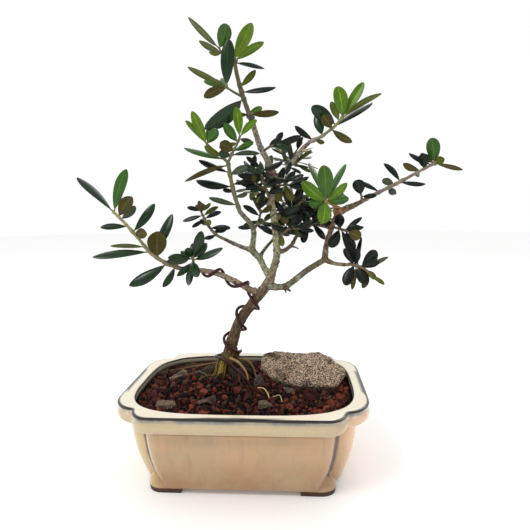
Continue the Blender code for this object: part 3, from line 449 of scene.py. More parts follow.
def glazeMaterial():
    material, tree, shader, spot = newMaterial("creamGlaze", Coat_Weight=0.12, Coat_Roughness=0.04,
                                               Specular_IOR_Level=0.42)
    level = glazeLevels
    tone = {name: linear(*screen) for name, screen in glazeTones.items()}
    across, _, up = node(tree, "ShaderNodeSeparateXYZ", {0: spot}).outputs
    height = times(tree, up, 1000.0)
    cloud = mottle(tree, spot, 55.0, 1.6)
    fine = mottle(tree, spot, 320.0, 1.0)
    runs = node(tree, "ShaderNodeMapping", {"Vector": spot, "Scale": (1.0, 1.0, 0.22)}).outputs[0]
    streak = mottle(tree, runs, 260.0, 1.3)
    wavy = plus(tree, height, times(tree, minus(tree, cloud, 0.5), 0.8))
    inner = attribute(tree, "inner")
    outside = minus(tree, 1.0, inner)
    # painted light: the right end of the body and the roll lighter and pinker
    litPinkEnd = ramp(tree, across, 0.030, 0.048, 0.0, 0.8)
    greenEnd = ramp(tree, across, -0.068, -0.084, 0.0, 0.8)
    # painted shade and painted warm reflected light: the body darker and warmer towards its foot
    body = mixColour(tree, ramp(tree, height, *level["bodyShadeFade"]), tone["shadedBodyLow"], tone["shadedBodyHigh"])
    body = mixColour(tree, ramp(tree, cloud, 0.25, 0.85, 0.0, 0.8), body, tone["bodyCloud"])
    body = mixColour(tree, times(tree, ramp(tree, streak, 0.45, 0.9), 0.35), body, tone["bodyStreak"])
    body = mixColour(tree, litPinkEnd, body, tone["bodyPinkLit"])
    body = mixColour(tree, greenEnd, body, tone["bodyGreen"])
    cream = mixColour(tree, cloud, tone["cream"], tone["creamCloud"])
    roll = mixColour(tree, fine, tone["roll"], tone["rollGrain"])
    roll = mixColour(tree, litPinkEnd, roll, tone["rollPinkLit"])
    # the inner wall darkens towards the soil: painted shade
    wall = mixColour(tree, ramp(tree, height, *level["wallShadeFade"]), tone["wallLowShade"], tone["wallHigh"])
    blue = mixColour(tree, streak, tone["blueDeep"], tone["bluePale"])
    patchy = ramp(tree, cloud, 0.25, 0.75, 0.45, 1.0)
    band = times(tree, heightBand(tree, wavy, *level["blue"]), outside, patchy)
    pool = times(tree, heightBand(tree, wavy, *level["pool"]), outside, ramp(tree, cloud, 0.3, 0.6), 0.6)
    # painted shade, with glaze pooling, in the crease under the lip
    coveShade = times(tree, heightBand(tree, height, *level["coveShade"]), outside, 0.75)
    groove = times(tree, attribute(tree, "groove"), ramp(tree, streak, 0.2, 0.7, 0.6, 1.0))
    # painted highlight on the lip by the notches
    notch = times(tree, attribute(tree, "notchHighlight"), ramp(tree, fine, 0.4, 0.65))
    rimLine = times(tree, heightBand(tree, wavy, *level["rimLine"]), outside, attribute(tree, "edgeLine"))
    innerLine = times(tree, heightBand(tree, wavy, *level["innerLine"]), inner)
    dots = specks(tree, spot, 95.0, 0.055, 0.12)
    dust = specks(tree, spot, 420.0, 0.12, 0.22)
    bare = ramp(tree, plus(tree, height, times(tree, minus(tree, fine, 0.5), 0.5)), *level["bareFeet"])
    clay = mixColour(tree, fine, tone["clayDeep"], tone["clayPale"])
    layers = (
        (ramp(tree, height, *level["rollStart"]), roll),
        (ramp(tree, height, *level["lipTop"]), cream),
        (inner, wall),
        (band, blue),
        (pool, tone["pool"]),
        (coveShade, tone["coveShade"]),
        (ramp(tree, groove, 0.1, 0.6, 0.0, 0.95), tone["groove"]),
        (notch, tone["notch"]),
        (calculate(tree, "MAXIMUM", rimLine, innerLine), tone["line"]),
        (times(tree, dots, 0.8), tone["dot"]),
        (times(tree, dust, 0.22), tone["dust"]),
        (bare, clay),
    )
    colour = body
    for mask, over in layers:
        colour = mixColour(tree, mask, colour, over)
    rough = plus(tree, ramp(tree, bare, 0.0, 1.0, 0.11, 0.8), times(tree, fine, 0.08))
    relief = minus(tree, plus(tree, cloud, times(tree, fine, 0.08)), times(tree, dots, 0.35))
    finishSurface(tree, shader, colour, rough, relief, 0.35, 0.6)
    return material


# Pot

potPlan = {
    "rim": (76.5, 63.0, 61.5, 49.5, 50.0, 29.0),  # half length and width, notch, ends of the straight sides
    "notchShare": (0.85, 0.75),  # how much of an inset the notch and the straight sides' ends take
    "flatShare": (0.55, 0.45),
    "rimHeight": 53.0,
    "arcSteps": 14,
    "sideSteps": 3,
    "softenings": 3,
    "base": ((3.2, 17.4), (3.35, 16.2)),  # height and inset, as in the body and the lip
    "body": ((3.9, 15.3), (5.4, 14.8), (7.5, 14.0), (14, 11.8), (23, 9.3), (33, 7.7), (38, 7.3),
             (40.6, 7.15)),
    "bodyStep": 2.6,
    "lip": ((41.4, 6.8), (41.95, 6.0), (42.25, 4.9), (42.5, 3.6), (43.0, 2.3), (43.8, 1.2), (45.0, 0.4),
            (46.4, 0.08), (47.6, 0.1), (48.5, 0.35), (49.0, 0.75), (49.6, 0.95), (50.6, 0.85), (51.6, 0.5),
            (52.1, 0.28), (52.5, 0.35), (52.8, 0.75), (52.95, 1.3), (53.0, 2.1)),
    "flat": (3.0, -0.9, (0.25, 0.75, 1.0)),  # outer inset, inner clearance, and the rings between them
    "innerRim": (68.3, 55.3),
    "innerFloor": (52.0, 40.0),
    "innerEdge": ((52.85, -0.45), (52.45, -0.12), (51.9, 0.0)),  # height and clearance
    "wallLevels": (50.5, 48, 44, 39, 33, 27, 21, 16, 12.5),
    "floorRings": ((10.6, 0.985, 11.2), (10.0, 0.95, 11.5)),  # height, share, and the wall's level it shares
    "roundness": 3.6,
    "wallCurve": 0.8,
    "floorTop": 10.0,
    "footSize": (21.5, 16.5),
    "footRings": ((0.0, 0.5), (0.5, 0.5), (3.0, 0.0), (5.0, 0.3), (8.0, 1.6), (11.0, 3.8), (13.5, 6.6)),
    "footRounds": ((1, 9.0), (-1, 4.0)),  # the outer corner and the inner one
    "footCentre": (45.6, 38.2),
    "drainRadius": 6.0,
    "drainDepth": 30.0,
    "drainSpacing": 52.0,
    "smoothUnder": 38.0,
    "edgeLineWidth": 2.2,
    "grooveWidth": 2.3,
    "grooveFade": (6.0, 8.0),  # where it starts, and over how much height it comes in
    "notchWidth": 6.0,
    "bodyHeights": (5.0, 41.6),
    "lipHeights": (48.6, 52.2),
    "lipInset": (41.9, 0.5),  # above this height the notch is this far in
    "innerFrom": 9.8,
    "innerMargin": 0.6,
}


def lobedOutline(inset):
    longHalf, shortHalf, notchX, notchY, flatX, flatY = potPlan["rim"]
    longHalf, shortHalf = longHalf - inset, shortHalf - inset
    shareX, shareY = potPlan["notchShare"]
    notchX, notchY = notchX - shareX * inset, notchY - shareY * inset
    shareX, shareY = potPlan["flatShare"]
    flatX, flatY = flatX - shareX * inset, flatY - shareY * inset
    steps, sideSteps = potPlan["arcSteps"], potPlan["sideSteps"]
    turns = [math.radians(90 * k / steps) for k in range(steps + 1)]
    quarter = [(longHalf, flatY * k / sideSteps) for k in range(sideSteps)]
    quarter += [(notchX + (longHalf - notchX) * math.cos(turn), flatY + (notchY - flatY) * math.sin(turn))
                for turn in turns]
    quarter += [(flatX + (notchX - flatX) * math.cos(turn), notchY + (shortHalf - notchY) * math.sin(turn))
                for turn in turns[1:]]
    quarter += [(flatX * (1 - k / sideSteps), shortHalf) for k in range(1, sideSteps)]
    mirrored = [(-x, y) for x, y in reversed(quarter[1:])]
    half = quarter + [(0.0, shortHalf)] + mirrored + [(-longHalf, 0.0)]
    outline = np.array(half + [(x, -y) for x, y in reversed(half[1:-1])])
    for _ in range(potPlan["softenings"]):  # glaze softens the notch
        outline = 0.5 * outline + 0.25 * (np.roll(outline, 1, 0) + np.roll(outline, -1, 0))
    return outline


def edgeInset(points):
    # How far in from the rim's outline each point's plan lies, by its angle.
    rim, plan = lobedOutline(0.0), np.abs(points[:, :2])
    turns = np.arctan2(rim[:, 1], rim[:, 0])
    order = np.argsort(turns)
    reach = np.interp(np.arctan2(points[:, 1], points[:, 0]), turns[order], np.hypot(*rim[order].T),
                      period=math.tau)
    return reach - np.hypot(*plan.T)


def innerHalf(heights):
    # Half the length and width between the walls at each height.
    low, high = np.array(potPlan["innerFloor"]), np.array(potPlan["innerRim"])
    rise = (np.asarray(heights) - potPlan["floorTop"]) / (potPlan["rimHeight"] - potPlan["floorTop"])
    spread = np.sin(np.clip(rise, 0, 1) * math.pi / 2) ** potPlan["wallCurve"]
    return low + (high - low) * spread[..., None]


def innerOutline(height, clearance=0.0):
    half = innerHalf(height) - clearance
    outline = lobedOutline(0.0)
    power = potPlan["roundness"]
    reach = (np.abs(outline / half) ** power).sum(1) ** (-1 / power)
    return outline * reach[:, None]


def wallShare(x, y, clearance):
    # Over one outside the walls' plan at the rim, less the clearance.
    return sum((abs(value) / (half - clearance)) ** potPlan["roundness"]
               for value, half in zip((x, y), potPlan["innerRim"]))


def potRings():
    rings = [(height, lobedOutline(inset)) for height, inset in potPlan["base"]]
    body = [Vector((height, inset, 0)) for height, inset in potPlan["body"]]
    rings += [(point.x, lobedOutline(point.y)) for point in smoothPath(body, potPlan["bodyStep"])[0]]
    rings += [(height, lobedOutline(inset)) for height, inset in potPlan["lip"]]
    top = potPlan["rimHeight"]
    inset, clearance, shares = potPlan["flat"]
    outer, inner = lobedOutline(inset), innerOutline(top, clearance)
    rings += [(top, outer * (1 - share) + inner * share) for share in shares]
    rings += [(height, innerOutline(height, clearance)) for height, clearance in potPlan["innerEdge"]]
    rings += [(height, innerOutline(height)) for height in potPlan["wallLevels"]]
    rings += [(height, share * innerOutline(level)) for height, share, level in potPlan["floorRings"]]
    return rings


def makeFoot(sideX, sideY):
    # A bracket foot: a plan with one well rounded corner, drawn in towards its top.
    sizeX, sizeY = potPlan["footSize"]
    spotX, spotY = sideX * potPlan["footCentre"][0], sideY * potPlan["footCentre"][1]
    deselectAll()
    bpy.ops.mesh.primitive_plane_add(size=1, location=(0, 0, 0))
    foot = bpy.context.object
    foot.data.transform(Matrix.Diagonal((sizeX * mm, sizeY * mm, 1, 1)))
    bpy.ops.object.mode_set(mode="EDIT")
    bpy.ops.mesh.select_mode(type="VERT")
    for corner, reach in potPlan["footRounds"]:
        shape = bmesh.from_edit_mesh(foot.data)
        for vert in shape.verts:
            vert.select = False
        shape.verts.ensure_lookup_table()
        picked = max(shape.verts, key=lambda v: corner * (sideX * v.co.x + sideY * v.co.y))
        picked.select = True
        shape.select_flush_mode()
        bmesh.update_edit_mesh(foot.data)
        bpy.ops.mesh.bevel(offset=reach * mm, segments=10, profile=0.5, affect="VERTICES")
    bpy.ops.mesh.select_all(action="SELECT")
    before = 0.0
    level = 0.0
    for height, inset in potPlan["footRings"]:
        if height:
            rise = (0, 0, (height - level) * mm)
            bpy.ops.mesh.extrude_region_move(TRANSFORM_OT_translate={"value": rise})
        grow = [(size - 2 * inset) / (size - 2 * before) for size in (sizeX, sizeY)]
        bpy.ops.transform.resize(value=(*grow, 1), center_override=(0, 0, height * mm))
        before, level = inset, height
    bpy.ops.mesh.select_all(action="SELECT")
    bpy.ops.mesh.normals_make_consistent(inside=False)
    bpy.ops.object.mode_set(mode="OBJECT")
    foot.data.transform(Matrix.Translation((spotX * mm, spotY * mm, 0)))
    return foot


def angleOf(x, y):
    return math.atan2(y, x) % math.tau


def drawUpRings(pot, rings):
    # Extrudes the disc ring by ring, each new edge laid on the next outline.
    bpy.ops.object.mode_set(mode="EDIT")
    shape = bmesh.from_edit_mesh(pot.data)
    around = shape.verts.layers.int.new("around")
    ordered = sorted(shape.verts, key=lambda v: angleOf(v.co.x, v.co.y))
    first = sorted(range(len(rings[0][1])), key=lambda k: angleOf(*rings[0][1][k]))
    for vert, k in zip(ordered, first):
        vert[around] = k
    for number, (height, outline) in enumerate(rings):
        if number:
            bpy.ops.mesh.extrude_region_move(TRANSFORM_OT_translate={"value": (0, 0, mm)})
            shape = bmesh.from_edit_mesh(pot.data)
            around = shape.verts.layers.int["around"]
        for vert in shape.verts:
            if vert.select:
                x, y = outline[vert[around]]
                vert.co = (x * mm, y * mm, height * mm)
        bmesh.update_edit_mesh(pot.data)
    bpy.ops.mesh.select_all(action="SELECT")
    bpy.ops.mesh.normals_make_consistent(inside=False)
    bpy.ops.object.mode_set(mode="OBJECT")


def joinOrCut(pot, other, operation):
    applyModifier(pot, "BOOLEAN", operation=operation, object=other, solver="EXACT")
    bpy.data.objects.remove(other, do_unlink=True)


def markPot(pot):
    # Where the glaze pools, thins or shows a line, and where a highlight is painted on the lip by the
    # notches: masks by place.
    points = pointsOf(pot)
    heights = points[:, 2]
    inset = np.interp(heights, *zip(*potPlan["body"]))
    inset = np.where(heights > potPlan["lipInset"][0], potPlan["lipInset"][1], inset)
    notch = np.array(potPlan["rim"][2:4]) - np.array(potPlan["notchShare"]) * inset[:, None]
    away = np.hypot(*(np.abs(points[:, :2]) - notch).T)
    half = innerHalf(heights) + potPlan["innerMargin"]
    within = (np.abs(points[:, :2] / half) ** potPlan["roundness"]).sum(1) < 1.0
    inner = within & (heights > potPlan["innerFrom"])
    onBody, onLip = ((heights > low) & (heights < high) & ~inner
                     for low, high in (potPlan["bodyHeights"], potPlan["lipHeights"]))
    start, span = potPlan["grooveFade"]
    fade = np.clip((heights - start) / span, 0, 1)
    setMask(pot, "inner", inner)
    setMask(pot, "edgeLine", ~inner & (edgeInset(points) < potPlan["edgeLineWidth"]))
    setMask(pot, "groove", np.exp(-(away / potPlan["grooveWidth"]) ** 2) * onBody * fade)
    setMask(pot, "notchHighlight", np.exp(-(away / potPlan["notchWidth"]) ** 2) * onLip)


def makePot():
    rings = potRings()
    deselectAll()
    bpy.ops.mesh.primitive_circle_add(vertices=len(rings[0][1]), radius=0.06, fill_type="NGON",
                                      location=(0, 0, 0))
    pot = bpy.context.object
    pot.name = "glazedPot"
    drawUpRings(pot, rings)
    for sideX in (-1, 1):
        for sideY in (-1, 1):
            joinOrCut(pot, makeFoot(sideX, sideY), "UNION")
    for side in (-1, 1):
        deselectAll()
        spot = (side * potPlan["drainSpacing"] / 2 * mm, 0, 0)
        bpy.ops.mesh.primitive_cylinder_add(vertices=48, radius=potPlan["drainRadius"] * mm,
                                            depth=potPlan["drainDepth"] * mm, location=spot)
        joinOrCut(pot, bpy.context.object, "DIFFERENCE")
    pot.data.transform(Matrix.Translation(potShift))
    makeActive(pot)
    bpy.ops.object.shade_smooth_by_angle(angle=math.radians(potPlan["smoothUnder"]))
    markPot(pot)
    pot.data.materials.clear()
    pot.data.materials.append(glazeMaterial())
    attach(pot, "root")
    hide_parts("pot")
    print("pot", len(pot.data.vertices))


makePot()


# Limbs: knots on the centre line, foot and tip radius, and the bark's colours on screen from foot to tip

trunkKnots = ((-14.0, 9.5, 57.4), (-13.4, 9.0, 66), (-10.5, 8.3, 77), (-5, 7.5, 92), (3.3, 6.7, 103.4),
              (10.4, 5.8, 112.5), (15.2, 5.0, 119.5))
trunkRadii = (8.4, 4.7, 3.95, 3.55, 3.4, 3.45, 3.2)
# the first colour, near black, is painted shade where the trunk goes into the soil
trunkTones = ((14, 10, 6), (58, 42, 20), (98, 74, 44), (96, 84, 60), (94, 70, 44), (96, 74, 52),
              (112, 102, 80))
limbs = {
    "leader": (((15.0, 5, 118.6), (17.4, 5, 126), (19.6, 5, 133), (20.2, 5, 141), (19, 5, 154),
                (17.9, 5, 165), (16.7, 5, 172), (18.3, 5, 180), (17.6, 5, 188), (13.8, 5, 198.5),
                (10.2, 5, 205), (6.3, 5, 217), (4.1, 5, 223.6)), 2.5, 1.75,
               ((118, 104, 82), (146, 138, 108), (168, 162, 124), (100, 86, 68), (142, 130, 116),
                (118, 102, 84))),
    "bough_left": (((10, 5.2, 110.4), (3.1, 2.2, 113.6), (-3.8, -0.5, 118), (-15, -3.2, 124),
                    (-23.6, -6, 127), (-31.4, -8.6, 128.2), (-39.8, -11.3, 129.5)), 2.3, 1.5,
                   ((104, 80, 56), (158, 138, 116), (152, 132, 108), (100, 86, 60))),
    "bough_right_lower": (((14.6, 5, 116.4), (20.4, 6, 115), (27.3, 7.5, 116.2), (39, 9.3, 125),
                           (47.5, 10.8, 130.2), (53.3, 12, 133.6)), 2.3, 1.9,
                          ((136, 134, 112), (108, 104, 78), (96, 88, 64), (116, 108, 84))),
    "bough_right_upper": (((51.6, 12, 132.8), (53.2, 13.4, 144), (56, 15, 152), (59.3, 16.4, 160.5),
                           (64, 17.8, 165), (73, 19.3, 169), (85.6, 20.4, 175.6)), 1.9, 1.3,
                          ((112, 94, 70), (106, 84, 62), (150, 112, 76), (104, 84, 62), (128, 112, 92))),
    "bough_right_low": (((52, 12, 132.4), (57.5, 9, 130.3), (63, 6.7, 129.8), (67.7, 5.1, 130)), 1.5, 1.15,
                        ((108, 90, 68), (128, 106, 78))),
    "bough_left_upper": (((16, 5, 121.5), (12.4, 5, 127), (8.8, 5, 134), (4.2, 4.6, 139.5), (4.8, 3.2, 145),
                          (5.4, 1.6, 151.5), (3.2, -0.6, 157.5), (-0.6, -2.2, 162), (-2.8, -3.1, 164.8)),
                         2.2, 1.45, ((140, 136, 110), (128, 128, 102), (112, 108, 80), (120, 112, 84))),
    "bough_left_inner": (((4.6, 4.6, 139.3), (-2, 8.6, 141), (-8, 12, 143), (-14.7, 15, 145.8)), 1.6, 1.15,
                         ((92, 86, 62), (78, 68, 48))),
    "bough_middle": (((8.8, 5, 134), (10.2, 10, 137.4), (13, 15, 141), (16.6, 19.4, 145)), 1.3, 0.95,
                     ((112, 106, 82), (98, 88, 64))),
    "bough_middle_right": (((19.8, 5, 139.6), (24, 7.4, 138.7), (29.6, 9.8, 142.4), (33, 13, 148),
                            (37, 17, 151)), 1.6, 1.0, ((112, 98, 74), (92, 76, 54))),
    "bough_upper_right": (((17.8, 5, 185), (23, 5.6, 188.8), (28, 6.1, 193.4), (33.4, 6.6, 200),
                           (37.3, 7.2, 204.8), (41.4, 8, 208.6)), 1.7, 1.3,
                          ((134, 124, 112), (148, 134, 126), (120, 104, 84))),
    "bough_back_low": (((18.6, 5, 158.5), (20, 19, 160), (24, 34, 162), (27, 47, 166)), 1.6, 1.1,
                       ((118, 106, 82), (104, 90, 66))),
    "bough_back_middle": (((17.4, 5, 168), (13, 18, 170), (8, 31, 173), (5, 42, 177)), 1.5, 1.0,
                          ((118, 106, 82), (104, 90, 66))),
    "bough_back_upper": (((17.8, 5, 187.5), (20, 16, 188), (24, 27, 190), (27, 36, 194)), 1.3, 0.95,
                         ((124, 112, 92), (104, 90, 66))),
    "bough_back_right": (((56.4, 15, 152.8), (53, 25, 154), (47.5, 34, 155), (45, 42, 158)), 1.4, 0.95,
                         ((110, 92, 68), (104, 90, 66))),
}
# Pruning knobs and stubs: the limb, the height of its middle, how much thicker it is there, and its length.
knobs = {
    "leader": ((189.0, 1.45, 4.5),),
    "bough_right_upper": ((164.5, 1.5, 4.5),),
    "bough_left_upper": ((139.5, 1.2, 4.0),),
}
roots = ((205, 21, 2.6), (168, 24, 2.2), (128, 17, 2.0), (70, 15, 2.0), (8, 15, 2.4), (300, 18, 2.6),
         (252, 15, 2.1))
rootTones = ((30, 22, 14), (62, 46, 24), (56, 40, 22))
# How old and rough the bark is at foot and tip.
limbAges = {
    **dict.fromkeys(("leader", "bough_left_upper", "bough_right_lower"), (0.55, 0.35)),
    **dict.fromkeys(("bough_right_upper", "bough_left_inner", "bough_middle_right", "bough_right_low"),
                    (0.65, 0.5)),
    "bough_left": (0.12, 0.35),
}
barkPlan = {
    "voxel": 0.42,
    "step": 1.3,
    "trunkStep": 1.6,
    "rootSteps": 14,
    "rootStart": 1.5,
    "rootSway": (0.25, 0.05),  # radians, in a long and a short wave
    "rootLift": (5.0, 0.9),  # above the ground at the trunk, and below it at the tip
    "rootRipple": 0.4,
    "rootTaper": (1.25, 0.95),  # times its radius at the trunk, and how much of that it loses
    "trunkSink": 2.0,
    "lowest": 49.0,
    "collar": 1.3,
    "collarLength": 3.5,
    "relief": (0.10, 0.42),  # millimetres on the finest limb and at the trunk's foot
    "rootRelief": 0.35,
    "trunkAge": (1.0, 0.62),
    "rootAge": (1.0, 0.7),
    "limbAge": (0.4, 0.3),
    # near black: painted shade at the knuckles' foot by the soil
    "footShadeTone": (16, 12, 8),
    "lichen": (164, 162, 138),
    "lichenFrom": 100.0,
    "moss": (112, 96, 34),
    "mossTo": 76.0,
}
# Short pieces on the limbs: where from, where to, radii, and colour. Snags, cut knobs and dead spurs.
spurs = (
    ((24.6, 6.0, 116.0), (29.2, 3.4, 112.4), 1.5, 0.75, (98, 84, 62)),
    ((24.9, 4.6, 114.6), (26.4, 1.6, 111.6), 0.9, 0.5, (70, 56, 40)),
    ((30.0, 9.4, 141.8), (34.4, 6.4, 140.4), 0.75, 0.5, (92, 80, 60)),
    ((16.6, 3.4, 188.8), (16.4, 0.6, 190.4), 2.5, 2.15, (158, 112, 88)),
    ((60.6, 16.2, 163.4), (59.0, 12.8, 165.0), 3.1, 2.5, (168, 112, 70)),
    ((36.2, 6.6, 203.4), (40.2, 4.4, 202.6), 0.85, 0.65, (172, 142, 112)),
    ((5.6, 4.0, 214.6), (8.2, 2.8, 216.4), 0.9, 0.6, (150, 132, 100)),
    ((20.0, 3.6, 131.0), (21.8, 2.4, 133.0), 1.6, 1.0, (112, 96, 72)),
    ((4.4, 4.0, 221.4), (6.0, 3.2, 225.0), 1.7, 1.2, (70, 62, 44)),
)
# Knuckles where the trunk meets its roots, in the same form as the spurs.
knuckles = (
    ((-12.8, 8.6, 61.0), (-11.2, 8.2, 73.0), 6.6, 4.3, (96, 72, 32)),
    ((-18.2, 5.6, 62.0), (-14.4, 7.0, 68.0), 2.8, 3.2, (84, 66, 28)),
    ((-6.2, 5.2, 61.0), (-8.6, 6.4, 67.0), 2.3, 2.6, (58, 42, 22)),
    ((-14.6, 3.4, 60.5), (-12.6, 5.2, 67.5), 2.4, 2.6, (104, 84, 30)),
)


moundPlan = {
    "middle": (-13.0, 10.0),
    "edge": (66.0, 54.0),
    "level": 48.0,
    "rise": 11.0,
    "spread": 30.0,
    "ripple": 1.2,
}


def ground(x, y):
    # The soil's height: a mound at the trunk's foot, with a ripple that dies out at the walls.
    away = math.hypot(x - moundPlan["middle"][0], y - moundPlan["middle"][1])
    edge = max(abs(x) / moundPlan["edge"][0], abs(y) / moundPlan["edge"][1])
    mound = moundPlan["rise"] * math.exp(-(away / moundPlan["spread"]) ** 2) * (1 - edge ** 4)
    ripple = moundPlan["ripple"] * math.sin(0.16 * x + 1.0) * math.sin(0.19 * y) * (1 - edge ** 2)
    return moundPlan["level"] + mound + ripple


def distances(path):
    # How far along the path each point is.
    return list(accumulate([0.0] + [(end - start).length for start, end in zip(path, path[1:])]))


def limbPath(name):
    knots, foot, tip, _ = limbs[name]
    points, _ = smoothPath(knots, barkPlan["step"])
    places = distances(points)
    radii = []
    for point, along in zip(points, places):
        radius = foot + (tip - foot) * along / places[-1]
        radius *= 1 + (barkPlan["collar"] - 1) * max(0.0, 1 - along / (2 * barkPlan["collarLength"]))
        for height, swell, spread in knobs.get(name, ()):
            radius *= 1 + (swell - 1) * math.exp(-((point.z - height) / spread) ** 2)
        radii.append(radius)
    return points, radii


def rootPath(heading, reach, radius):
    # A root that winds away from the trunk's foot and sinks into the ground.
    turn = math.radians(heading)
    path, radii = [], []
    steps = barkPlan["rootSteps"]
    longSway, shortSway = barkPlan["rootSway"]
    lift, sink = barkPlan["rootLift"]
    thick, loss = barkPlan["rootTaper"]
    for k in range(steps + 1):
        share = k / steps
        away = barkPlan["rootStart"] + reach * share
        bend = turn + longSway * math.sin(3 * share + heading) + shortSway * math.sin(11 * share + heading)
        x, y = trunkKnots[0][0] + away * math.cos(bend), trunkKnots[0][1] + away * math.sin(bend)
        above = lift * (1 - share) ** 3 - sink * share
        ripple = barkPlan["rootRipple"] * math.sin(7 * share + heading)
        path.append(Vector((x, y, ground(x, y) + above + ripple)))
        radii.append(radius * (thick - loss * share))
    return path, radii


def straightPiece(start, end, wide, narrow, steps):
    shares = [k / steps for k in range(steps + 1)]
    path = [Vector(start).lerp(Vector(end), share) for share in shares]
    return path, [wide + (narrow - wide) * share for share in shares]


def makeBark():
    skin = Batch()
    lines = []  # centre line samples: point, radius, distance along, direction, colour, age, kind

    def addLimb(path, radii, tones, sides, age, kind="limb"):
        skin.add(*ringsAlong(path, radii, sides))
        colours = [Vector(linear(*tone)) for tone in tones]
        for i, (point, along) in enumerate(zip(path, distances(path))):
            ahead = (path[min(i + 1, len(path) - 1)] - path[max(i - 1, 0)]).normalized()
            share = i / (len(path) - 1)
            lines.append((point, radii[i], along + 37.0 * len(lines), ahead, between(colours, share),
                          age[0] + (age[1] - age[0]) * share, kind))

    foot = Vector(trunkKnots[0]) - Vector((0, 0, barkPlan["trunkSink"]))
    path, places = smoothPath(trunkKnots, barkPlan["trunkStep"])
    radii = [between(trunkRadii, place) for place in places]
    addLimb([foot, *path], [radii[0], *radii], trunkTones, 28, barkPlan["trunkAge"])
    for root in roots:
        addLimb(*rootPath(*root), rootTones, 12, barkPlan["rootAge"], "root")
    for name in limbs:
        addLimb(*limbPath(name), limbs[name][3], 18, limbAges.get(name, barkPlan["limbAge"]))
    for *shape, tone in spurs:
        addLimb(*straightPiece(*shape, 4), (tone, tone), 12, (0.5, 0.5), "spur")
    for *shape, tone in knuckles:
        # knuckles start near black at the soil: painted shade
        addLimb(*straightPiece(*shape, 5), (barkPlan["footShadeTone"], tone, tone), 16, (1.0, 1.0), "knuckle")
    bark = joinedMesh("bark", skin.points, skin.faces)
    applyModifier(bark, "REMESH", mode="VOXEL", voxel_size=barkPlan["voxel"] * mm, use_smooth_shade=True)
    applyModifier(bark, "SMOOTH", factor=0.5, iterations=3)
    shapeBark(bark, lines)
    bark.data.materials.append(barkMaterial())
    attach(bark, "root")
    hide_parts("trunk", *limbs)
    print("bark", len(bark.data.vertices))
    return bark


def surfaceNoise(point, out, radius, along):
    # Ridge, flake and crack at a spot round and along a limb.
    around = out * max(radius, 1.2) * 0.5
    ridge = noise.fractal(Vector((around.x, around.y, around.z + 0.10 * along)) * 1.5, 0.9, 2.1, 4)
    flake = noise.noise(Vector((around.x * 2.2, around.y * 2.2, 0.55 * along)) + around * 1.5)
    crack = noise.noise(Vector((around.x * 2.6, around.y * 2.6, 0.22 * along + around.z)))
    return ridge, flake, max(0.0, -crack - 0.12)


def barkPush(point, kind, radius, along, age, ridge, flake, crack):
    # How far the skin stands out, in millimetres.
    pimple = noise.noise(point * 1.3)
    if kind == "spur":
        return 0.16 * ridge + 0.12 * pimple
    if kind == "knuckle":
        lump = noise.noise(point * 0.33 + Vector((4, 4, 2)))
        return 0.9 * ridge + 0.35 * flake - 1.5 * crack + 1.3 * lump
    fine, coarse = barkPlan["relief"]
    depth = fine + (coarse - fine) * age * min(1.0, radius / 3.5)
    if kind == "root":
        depth = barkPlan["rootRelief"]
    lump = noise.noise(point * 0.16)
    push = depth * (0.8 * ridge + 0.45 * flake - 1.6 * crack) + 0.16 * radius * lump * age + 0.06 * pimple
    if kind == "limb" and radius < 3:
        knot = noise.noise(Vector((3.1, 0.21 * along, radius)))
        push += 0.14 * radius * max(0.0, knot - 0.15) * 3.0
    return push


def barkTone(point, kind, tone, ridge, flake, crack):
    # The limb's colour, darker in cracks as the bark's own darker fissures with painted shade over them, with
    # lichen on the upper limbs and moss at the foot.
    shade = 1.0 + 0.42 * flake + 0.30 * ridge - 1.3 * crack
    patch = noise.noise(point * 0.11 + Vector((7, 3, 1)))
    warm = (1.0 + 0.10 * patch, 1.0, 1.0 - 0.16 * patch)
    colour = np.array([max(0.004, c * shade * w) for c, w in zip(tone, warm)])
    if kind == "limb" and point.z > barkPlan["lichenFrom"]:
        lichen = max(0.0, noise.noise(point * 0.35 + Vector((1, 9, 4))) - 0.18) * 1.6
        colour = colour * (1 - lichen) + np.array(linear(*barkPlan["lichen"])) * lichen
    if point.z < barkPlan["mossTo"]:
        moss = max(0.0, noise.noise(point * 0.4) + 0.22) * min(1.0, (barkPlan["mossTo"] - point.z) / 14) * 0.9
        moss = min(0.7, moss) * (0.3 if kind == "root" else 1.0)
        green = np.array(linear(*barkPlan["moss"])) * (0.45 + 0.4 * (1 + flake))
        colour = colour * (1 - moss) + green * moss
    return colour


def shapeBark(bark, lines):
    # Ridges, flakes and knuckles by where each point lies along and round its limb.
    tree = KDTree(len(lines))
    for i, line in enumerate(lines):
        tree.insert(line[0], i)
    tree.balance()
    points, normals = pointsOf(bark), normalsOf(bark)
    tones = np.zeros((len(points), 3))
    cracks = np.zeros(len(points))
    for i, raw in enumerate(points):
        point = Vector(raw)
        best = min(tree.find_n(point, 5), key=lambda hit: hit[2] / (lines[hit[1]][1] + 0.6))
        centre, radius, along, ahead, tone, age, kind = lines[best[1]]
        away = point - centre
        along += away.dot(ahead)
        out = away - away.dot(ahead) * ahead
        out = out.normalized() if out.length > 1e-6 else Vector((1, 0, 0))
        ridge, flake, crack = surfaceNoise(point, out, radius, along)
        points[i] = raw + normals[i] * barkPush(point, kind, radius, along, age, ridge, flake, crack)
        tones[i] = barkTone(point, kind, tone, ridge, flake, crack)
        cracks[i] = crack
    points[:, 2] = np.maximum(points[:, 2], barkPlan["lowest"])
    setPoints(bark, points)
    setTone(bark, tones)
    setMask(bark, "crack", np.clip(cracks * 3, 0, 1))


